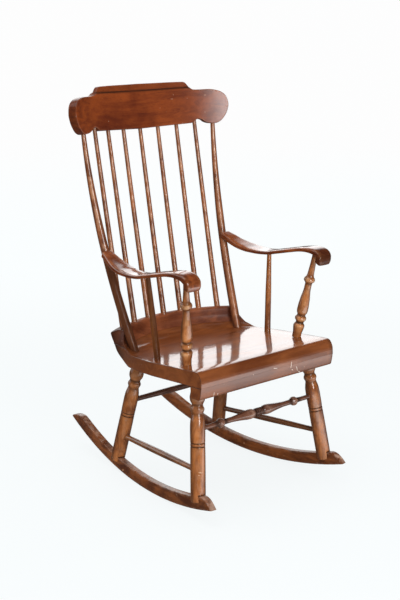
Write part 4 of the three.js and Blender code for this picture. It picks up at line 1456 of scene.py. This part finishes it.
@dataclass
class Back:
    """Two bent stiles, seven bent spindles and the crest rail on top of them."""

    crest_length: float = 0.588
    crest_height: float = 0.1296
    crest_thickness: float = 0.024
    arc_radius: float = 0.577
    lean: float = math.radians(7.7)
    crest_foot: Pair = (0.288, 0.960)
    step_share: float = 0.845
    step_slope: float = 0.0016
    setbacks: Pair = (0.003, 0.008)
    arris: float = 0.0026
    stile_foot: Triple = (0.1926, 0.0761, 0.376)
    stile_bend: Triple = (0.224, 0.208, 0.690)
    stile_along: float = 0.2418
    stile_radius: float = 0.012
    spindle_places: tuple[float, ...] = (-1, -0.68, -0.34, 0, 0.34, 0.68, 1)
    foot_spread: float = 0.355
    top_spread: float = 0.369
    foot_arc: float = 0.455
    foot_y: float = 0.187
    foot_height: float = 0.433
    spindle_radius: float = 0.0074
    bow: float = 0.003
    tenons: Pair = (0.015, 0.025)
    outline_points: int = 420
    columns: int = 381

    # The crest's outline: rows of share of its half length and share of its height.
    under: Rows = ((0, 0.012), (0.311, 0.028), (0.487, 0.034), (0.583, 0.04), (0.605, 0.052),
                   (0.634, 0.102), (0.666, 0.12), (0.7, 0.099), (0.729, 0.045), (0.776, 0.006),
                   (0.845, -0.009), (0.891, 0.02), (0.945, 0.125), (0.982, 0.258))
    over: Rows = ((0.999, 0.408), (0.986, 0.552), (0.947, 0.668), (0.884, 0.737), (0.8, 0.773),
                  (0.703, 0.78), (0.635, 0.79), (0.605, 0.822), (0.543, 0.968), (0.523, 0.979), (0, 1))

    # The crest's wear: at which share of its rounding it is strongest, how wide, and how much.
    rim_wear: Triple = (0.7, 0.6, 0.7)
    # Painted shadow along the step, and darkening on the outline and above the step. Then where the
    # stiles' darkening ends.
    step_shadow: Pair = (1.3, 0.0036)
    rim_darkening: Pair = (0.5, 0.55)
    above_step_darkening: float = 0.2
    darkened_below: Pair = (0.66, -0.06)

    def bend(self, along: np.ndarray, out: np.ndarray, high: np.ndarray) -> np.ndarray:
        """Place of points of the crest's board once it is bent and leaned back.

        The board is rolled on a cylinder about an upright axis in front of it: x is (R + out)
        sin(along / R) and the depth (R + out) cos(along / R) - R. Then it turns about X.

        Args:
            along: distance from the board's middle.
            out: distance behind the board's middle plane.
            high: height over its foot.

        Returns:
            Rows of x, y and z.
        """
        angle = along / self.arc_radius
        depth = (self.arc_radius + out) * np.cos(angle) - self.arc_radius
        y = depth * math.cos(self.lean) + high * math.sin(self.lean) + self.crest_foot[0]
        z = high * math.cos(self.lean) - depth * math.sin(self.lean) + self.crest_foot[1]
        return np.stack([(self.arc_radius + out) * np.sin(angle), y, z], axis=-1)

    def edge_point(self, along: float) -> np.ndarray:
        """Point in the middle of the crest's lower edge."""
        high = np.interp(abs(along) / (self.crest_length / 2), *np.array(self.under).T) * self.crest_height
        return self.bend(np.array(along), np.array(0.0), high)

    def stile_points(self) -> tuple[np.ndarray, np.ndarray, np.ndarray]:
        """Foot, bend and top of the right stile's bow."""
        return np.array(self.stile_foot), np.array(self.stile_bend), self.edge_point(self.stile_along)

    def make_crest(self) -> bpy.types.Object:
        """The crest rail: a shaped board, thinned above the step, bent and leaned.

        The outline is a smooth line through its given points and their mirror images. Above the
        step, both faces are set back by 3 t^2 - 2 t^3 of the setback, with t the share of the slope.

        Returns:
            The crest rail.
        """
        half = np.array([*self.under, *self.over]) * [self.crest_length / 2, self.crest_height]
        outline = smooth_path(half, self.outline_points)
        reach = outline[:, 0].max()
        turn = int(np.argmax(outline[:, 0]))
        lower, upper = outline[: turn + 1], outline[turn:]
        other = [-1.0, 1.0]
        whole = np.vstack([(lower * other)[::-1][:-1], lower, upper[1:], (upper * other)[::-1][1:-1]])
        columns = reach * np.sin(np.linspace(-np.pi / 2, np.pi / 2, self.columns))
        low, high = np.interp(np.abs(columns), *lower.T), np.interp(np.abs(columns), *upper[::-1].T)
        flat, faces, gap = board(whole, columns, low, high, self.crest_thickness, self.arris,
                                 inner_rows=46)
        along, out, high = flat.T
        over_step = high - self.step_share * self.crest_height
        above = np.clip(over_step / self.step_slope + 0.5, 0, 1)
        above = above * above * (3 - 2 * above)
        setback = np.where(out < 0, self.setbacks[0], -self.setbacks[1])
        out = out + above * setback * np.clip(np.abs(out) / (self.crest_thickness / 2), 0, 1)
        strongest, width, most = self.rim_wear
        wear_and_highlight = close(np.abs(gap / self.arris - strongest), width) * most
        # Painted shadow along the step under the set-back tablet.
        most, width = self.step_shadow
        grime_and_shade = np.where(out < 0, np.clip(most - np.abs(over_step) / width, 0, 1), 0.0)
        width, most = self.rim_darkening
        grime_and_shade = np.maximum(grime_and_shade, close(gap, width * self.arris) * most)
        grime_and_shade = np.maximum(grime_and_shade, above * self.above_step_darkening * (out < 0))
        shape = Shape(self.bend(along, out, high), faces, wear_and_highlight, grime_and_shade)
        return add_piece("crest_rail", shape, CREST_FINISH)

    def make_stile(self, name: str) -> bpy.types.Object:
        """An outer post, thickest over the seat and slim under the crest, darker below the arm.

        Args:
            name: left or right.

        Returns:
            The post.
        """
        foot, bend, top = (point * mirror(name) for point in self.stile_points())
        shape = bent_rod(foot, bend, top, STILE_TURNING, self.stile_radius, self.tenons, rings=110,
                         facets=32)
        darkening = ramp(shape.corners[:, 2], *self.darkened_below) * LOW_ROD_DARKENING[name]
        return add_piece(f"stile_{name}", shape.darkened(darkening, 1 - darkening), STILE_FINISH)

    def make_spindle(self, number: int) -> bpy.types.Object:
        """A slim spindle between the back roll and the crest rail, a little bowed to the back.

        Args:
            number: its place in the row, from nought at the left.

        Returns:
            The spindle.
        """
        place = self.spindle_places[number]
        foot_x = place * self.foot_spread / 2
        foot = np.array([foot_x, self.foot_y - self.foot_arc + math.sqrt(self.foot_arc**2 - foot_x**2),
                         self.foot_height])
        top = self.edge_point(place * self.top_spread / 2)
        bend = (foot + top) / 2 + [0, self.bow, 0]
        shape = bent_rod(foot, bend, top, BACK_SPINDLE_TURNING, self.spindle_radius, self.tenons)
        return add_piece(f"back_spindle_{number + 1}", shape, ROD_FINISH)

    def make(self) -> None:
        """Builds and dresses the back."""
        self.make_crest()
        for name in SIDES:
            self.make_stile(name)
        for number in range(len(self.spindle_places)):
            self.make_spindle(number)


POST_TURNING: Table = [
    (0.0, 0.78), (0.01, 0.79), (0.05, 0.8), (0.085, 0.88), (0.118, 0.97), (0.135, 1), (0.15, 0.95),
    (0.165, 0.77), (0.18, 0.69), (0.198, 0.83), (0.213, 0.99), (0.227, 1.01), (0.241, 0.94),
    (0.255, 0.76), (0.268, 0.73), (0.29, 0.9), (0.325, 0.98), (0.365, 0.97), (0.42, 0.9), (0.46, 0.84),
    (0.5, 0.74), (0.54, 0.65), (0.58, 0.61), (0.63, 0.61), (0.648, 0.77), (0.66, 0.95), (0.676, 0.99),
    (0.694, 0.9), (0.708, 0.71), (0.735, 0.6), (0.78, 0.55), (0.86, 0.49), (1, 0.47),
]
ARM_SPINDLE_TURNING: Table = [(0, 1.02), (0.12, 0.97), (0.5, 0.93), (0.74, 0.81), (1, 0.69)]


@dataclass
class Arms:
    """Two scrolled arms, each on a turned post and a plain spindle."""

    seat: Seat
    back: Back
    on_stile_share: float = 0.4223
    from_stile: Triple = (0.0051, -0.0194, 0.0)
    length: float = 0.385
    width: float = 0.058
    thickness: float = 0.0185
    drop: float = 0.022
    spread: float = 0.0205
    # A foot is x and y on the seat. A top is shares of the arm's length, drop and spread.
    post_foot: Pair = (0.203, -0.1586)
    post_top: Triple = (0.8987, 0.4727, 0.756)
    post_radius: float = 0.0159
    spindle_foot: Pair = (0.205, -0.0392)
    spindle_top: Triple = (0.4512, -0.959, 0.12)
    spindle_radius: float = 0.009
    spindle_sunk: float = 0.004
    # The section's squareness, the rounding of the two ends, and how many sections and corners.
    squareness: float = 0.42
    end_arris: float = 0.0035
    end_push: float = 0.6
    sections: int = 150
    facets: int = 72
    # Wear at the corners of the section: from where, over what stretch, and how much.
    corner_wear: Triple = (0.55, 0.3, 0.8)
    # Painted shade on the left and the right curl, from where along the arm and over what stretch. The
    # underside has none where the section's thickness share is below the last value.
    curl_shade: Pair = (0.15, 0.85)
    curl_from: Pair = (0.82, 0.1)
    unshaded_below: float = -0.9

    # Rows of share of the length, of the drop and of the spread, then shares of width and thickness.
    stations: Rows = (
        (-0.034, 0.36, -0.06, 0.58, 1), (0.02, 0.04, 0.06, 0.68, 1), (0.08, -0.35, 0.195, 0.8, 0.97),
        (0.174, -0.75, 0.43, 0.966, 0.89), (0.26, -0.95, 0.6, 1, 0.75), (0.338, -0.98, 0.7, 1, 0.66),
        (0.442, -0.845, 0.82, 1, 0.63), (0.532, -0.5, 0.87, 0.974, 0.63), (0.662, 0.03, 0.93, 0.93, 0.63),
        (0.779, 0.47, 0.98, 0.897, 0.68), (0.857, 0.6, 0.98, 0.897, 0.81), (0.92, 0.51, 0.97, 0.89, 0.92),
        (0.953, 0.25, 0.95, 0.87, 0.95), (0.968, -0.13, 0.88, 0.83, 1.07), (0.966, -0.5, 0.84, 0.8, 1.24),
        (0.958, -0.78, 0.82, 0.77, 1.26),
    )

    def place(self, shares: np.ndarray | Triple) -> np.ndarray:
        """Places on the right arm, from its start by the stile.

        Args:
            shares: one or more rows of share of the length, of the drop and of the spread.

        Returns:
            X, Y and Z of each.
        """
        foot, bend, top = self.back.stile_points()
        t = self.on_stile_share
        start = foot * (1 - t) ** 2 + 2 * bend * t * (1 - t) + top * t**2 + self.from_stile
        along, drop, spread = np.asarray(shares, float).T
        return np.stack([start[0] + spread * self.spread, start[1] - along * self.length,
                         start[2] + drop * self.drop], axis=-1)

    def make_arm(self, name: str) -> bpy.types.Object:
        """An arm: a soft-cornered section carried from the stile to the curl.

        The section's half width and half thickness multiply an angle's cosine and sine, each
        raised to the power of the squareness and keeping its sign. Both ends are drawn in by
        r (1 - cos a) while they run out by a share of r sin a, to a soft edge.

        Args:
            name: left or right.

        Returns:
            The arm.
        """
        rows = np.array(self.stations)
        middle = self.place(rows[:, :3])
        sizes = rows[:, 3:5] * [self.width / 2, self.thickness / 2]
        both = smooth_path(np.hstack([middle, sizes]), self.sections)
        line, sizes = both[:, :3], both[:, 3:]
        tangent = np.gradient(line, axis=0)
        tangent[:, 0] = 0
        tangent = unit(tangent)
        across = np.broadcast_to([1.0, 0.0, 0.0], tangent.shape)
        up = -np.cross(across, tangent)
        angle = (np.arange(self.facets) + 0.5) * 2 * np.pi / self.facets
        wide, thick = (np.sign(wave) * np.abs(wave) ** self.squareness
                       for wave in (np.cos(angle), np.sin(angle)))
        end = np.linspace(0, np.pi / 2, 7)[1:]
        pull, push = self.end_arris * (1 - np.cos(end)), self.end_arris * np.sin(end)
        places = np.pad(np.arange(self.sections), len(end), mode="edge")
        still = np.zeros(self.sections)
        drawn = np.concatenate([pull[::-1], still, pull])
        shift = np.concatenate([-push[::-1], still, push]) * self.end_push
        half = sizes[places] - drawn[:, None]
        core = line[places] + tangent[places] * shift[:, None]
        rings = (
            core[:, None]
            + across[places][:, None] * (half[:, :1] * wide)[..., None]
            + up[places][:, None] * (half[:, 1:] * thick)[..., None]
        )
        rings[..., 0] *= SIDES[name]
        *span, most = self.corner_wear
        wear_and_highlight = np.broadcast_to(ramp(np.abs(wide * thick), *span), rings.shape[:2]) * most
        # Painted shade on the front of the curl, most on the right arm.
        front = ramp(np.arange(len(rings)) / len(rings), *self.curl_from)[:, None]
        darkening = self.curl_shade[list(SIDES).index(name)]
        grime_and_shade = np.broadcast_to(front * darkening * (thick > self.unshaded_below), rings.shape[:2])
        return add_piece(f"arm_{name}", tube(rings, wear_and_highlight, grime_and_shade), ARM_FINISH)

    def make_post(self, name: str) -> bpy.types.Object:
        """A turned post from the seat into the arm.

        Args:
            name: left or right.

        Returns:
            The post.
        """
        x, y = self.post_foot
        foot = np.array([x, y, float(self.seat.top(y))]) * mirror(name)
        top = self.place(self.post_top) * mirror(name)
        shape = turned(foot, top, POST_TURNING, self.post_radius, rings=180, facets=48)
        return add_piece(f"arm_post_{name}", shape, POST_FINISH)

    def make_spindle(self, name: str) -> bpy.types.Object:
        """A plain spindle from the seat into the arm.

        Args:
            name: left or right.

        Returns:
            The spindle.
        """
        x, y = self.spindle_foot
        foot = np.array([x, y, float(self.seat.top(y)) - self.spindle_sunk]) * mirror(name)
        top = self.place(self.spindle_top) * mirror(name)
        shape = turned(foot, top, ARM_SPINDLE_TURNING, self.spindle_radius, rings=60, facets=32)
        return add_piece(f"arm_spindle_{name}", shape.darkened(LOW_ROD_DARKENING[name]), SPINDLE_FINISH)

    def make(self) -> None:
        """Builds and dresses both arms."""
        for name in SIDES:
            self.make_arm(name)
            self.make_post(name)
            self.make_spindle(name)


@dataclass
class Studio:
    """Pale floor, white surroundings, soft lamps and the camera."""

    azimuth: float = -40.81
    elevation: float = 14.131
    camera_place: Triple = (-2.1417, -2.4568, 1.3276)
    sensor: float = 36.0
    lens: float = 72.0
    floor_size: float = 30.0
    floor_colour: Colour = (0.84, 0.89, 0.905)
    floor_white: Colour = (0.96, 0.991, 0.998)
    # The least share of the floor's own glow, the distances over which it grows to the whole, and
    # those over which the floor's white goes over into the background's.
    floor_glow: float = 0.88
    glow_ring: Pair = (0.9, 2.6)
    white_ring: Pair = (3.0, 9.0)
    world_light: float = 0.62
    world_colour: Colour = (1.0, 0.99, 0.98)
    background: Colour = (0.984, 0.985, 0.986)
    # How bright glossy wood sees the floor, by its place, and the surroundings, by the direction:
    # rows of a coordinate's number, the low and high of its range, and the strength at both.
    floor_gloss: Rows = ((1, -1.0, -0.3, 3.6, 0.15), (0, 0.75, 1.1, 1.0, 0.4), (1, -1.9, -1.4, 0.25, 1.0),
                         (0, -0.9, -0.2, 0.1, 1.0))
    world_gloss: Rows = ((1, 0.3, 0.7, 0.04, 2.6), (2, 0.0, 0.12, 0.08, 1.0), (2, 0.42, 0.7, 1.0, 0.12))

    def make_floor(self) -> None:
        """A pale floor that looks white and still keeps the chair's shadow."""
        half = self.floor_size / 2
        mesh = bpy.data.meshes.new("floor")
        corners = [(-half, -half, 0), (half, -half, 0), (half, half, 0), (-half, half, 0)]
        mesh.from_pydata(corners, [], [(0, 1, 2, 3)])
        floor = bpy.data.objects.new("floor", mesh)
        bpy.context.collection.objects.link(floor)
        sketch = Sketch(bpy.data.materials.new("floor_paper"))
        path = sketch.add("ShaderNodeLightPath").outputs
        place = sketch.add("ShaderNodeTexCoord").outputs["Object"]
        away = sketch.add("ShaderNodeVectorMath", {0: place}, operation="LENGTH").outputs["Value"]
        share = sketch.spread(away, *self.glow_ring, self.floor_glow, 1.0)
        share = sketch.sum("MULTIPLY", share, path["Is Camera Ray"])
        paper = sketch.add("ShaderNodeBsdfDiffuse", {"Color": (*self.floor_colour, 1)})
        white = sketch.blend(sketch.spread(away, *self.white_ring), self.floor_white, self.background)
        glow = sketch.add("ShaderNodeEmission", {"Color": white, "Strength": 1.0})
        mixed = sketch.add("ShaderNodeMixShader", {0: share, 1: paper.outputs[0], 2: glow.outputs[0]})
        strength = sketch.product(sketch.split(place), self.floor_gloss)
        mirrored = sketch.add("ShaderNodeEmission", {"Color": (*self.background, 1), "Strength": strength})
        in_gloss = sketch.sum("MAXIMUM", path["Is Glossy Ray"], path["Is Transmission Ray"])
        whole = sketch.add("ShaderNodeMixShader", {
            0: in_gloss, 1: mixed.outputs[0], 2: mirrored.outputs[0],
        })
        sketch.add("ShaderNodeOutputMaterial", {"Surface": whole.outputs[0]})
        mesh.materials.append(sketch.owner)

    def make_world(self) -> None:
        """White surroundings, dimmer as light, and in gloss bright only high up behind the chair."""
        world = bpy.data.worlds.new("studio")
        bpy.context.scene.world = world
        sketch = Sketch(world)
        path = sketch.add("ShaderNodeLightPath").outputs
        way = sketch.add("ShaderNodeTexCoord").outputs["Generated"]
        strength = sketch.product(sketch.split(way), self.world_gloss)
        light, white, mirrored = (
            sketch.add("ShaderNodeBackground", {"Color": (*colour, 1), "Strength": bright})
            for colour, bright in ((self.world_colour, self.world_light), (self.background, 1.0),
                                   (self.background, strength))
        )
        first = sketch.add("ShaderNodeMixShader", {
            0: path["Is Glossy Ray"], 1: light.outputs[0], 2: mirrored.outputs[0],
        })
        second = sketch.add("ShaderNodeMixShader", {
            0: path["Is Camera Ray"], 1: first.outputs[0], 2: white.outputs[0],
        })
        sketch.add("ShaderNodeOutputWorld", {"Surface": second.outputs[0]})

    def add_lamp(self, name: str, place: Triple, aim: Triple, size: Pair, watts: float,
                 gloss_only: bool = False) -> None:
        """A soft rectangular lamp.

        Args:
            name: its name.
            place: where it stands.
            aim: the point that it faces.
            size: its width and height.
            watts: its power.
            gloss_only: whether it only shows in glossy surfaces.
        """
        data = bpy.data.lights.new(name, "AREA")
        data.shape = "RECTANGLE"
        data.size, data.size_y = size
        data.energy = watts
        lamp = bpy.data.objects.new(name, data)
        lamp.location = place
        lamp.rotation_euler = (Vector(aim) - Vector(place)).to_track_quat("-Z", "Y").to_euler()
        lamp.visible_camera = False
        if gloss_only:
            lamp.visible_diffuse = False
        bpy.context.collection.objects.link(lamp)

    def make_lamps(self) -> None:
        """A tall key lamp and a narrow glossy strip in front of the chair, and a soft fill above."""
        self.add_lamp("key", (-0.65, -3.1, 1.4), (0, 0, 0.7), (1.2, 1.8), 42)
        self.add_lamp("strip", (-0.6, -3.0, 1.25), (0, 0, 0.7), (0.3, 1.3), 22, gloss_only=True)
        self.add_lamp("top", (-0.6, 0.2, 3.2), (0, 0, 0.5), (2.5, 2.5), 36)

    def make_camera(self) -> None:
        """The camera at the photograph's place and angle."""
        data = bpy.data.cameras.new("camera")
        data.sensor_width = self.sensor
        data.lens = self.lens
        camera = bpy.data.objects.new("camera", data)
        x, y, z = self.camera_place
        camera.location = (x, y + CONTACT_Y, z)
        camera.rotation_euler = (math.radians(90 - self.elevation), 0, math.radians(self.azimuth))
        bpy.context.collection.objects.link(camera)
        bpy.context.scene.camera = camera

    def make(self) -> None:
        """Builds the surroundings."""
        self.make_camera()
        self.make_floor()
        self.make_world()
        self.make_lamps()
        bpy.context.scene.view_settings.view_transform = "Standard"


def main() -> None:
    """Builds the chair and its surroundings in order."""
    logging.basicConfig(level=logging.INFO, format="%(name)s: %(message)s")
    Studio().make()
    seat = Seat()
    back = Back()
    Underframe(Rockers(), seat).make()
    seat.make()
    back.make()
    Arms(seat, back).make()


if __name__ == "__main__":
    main()
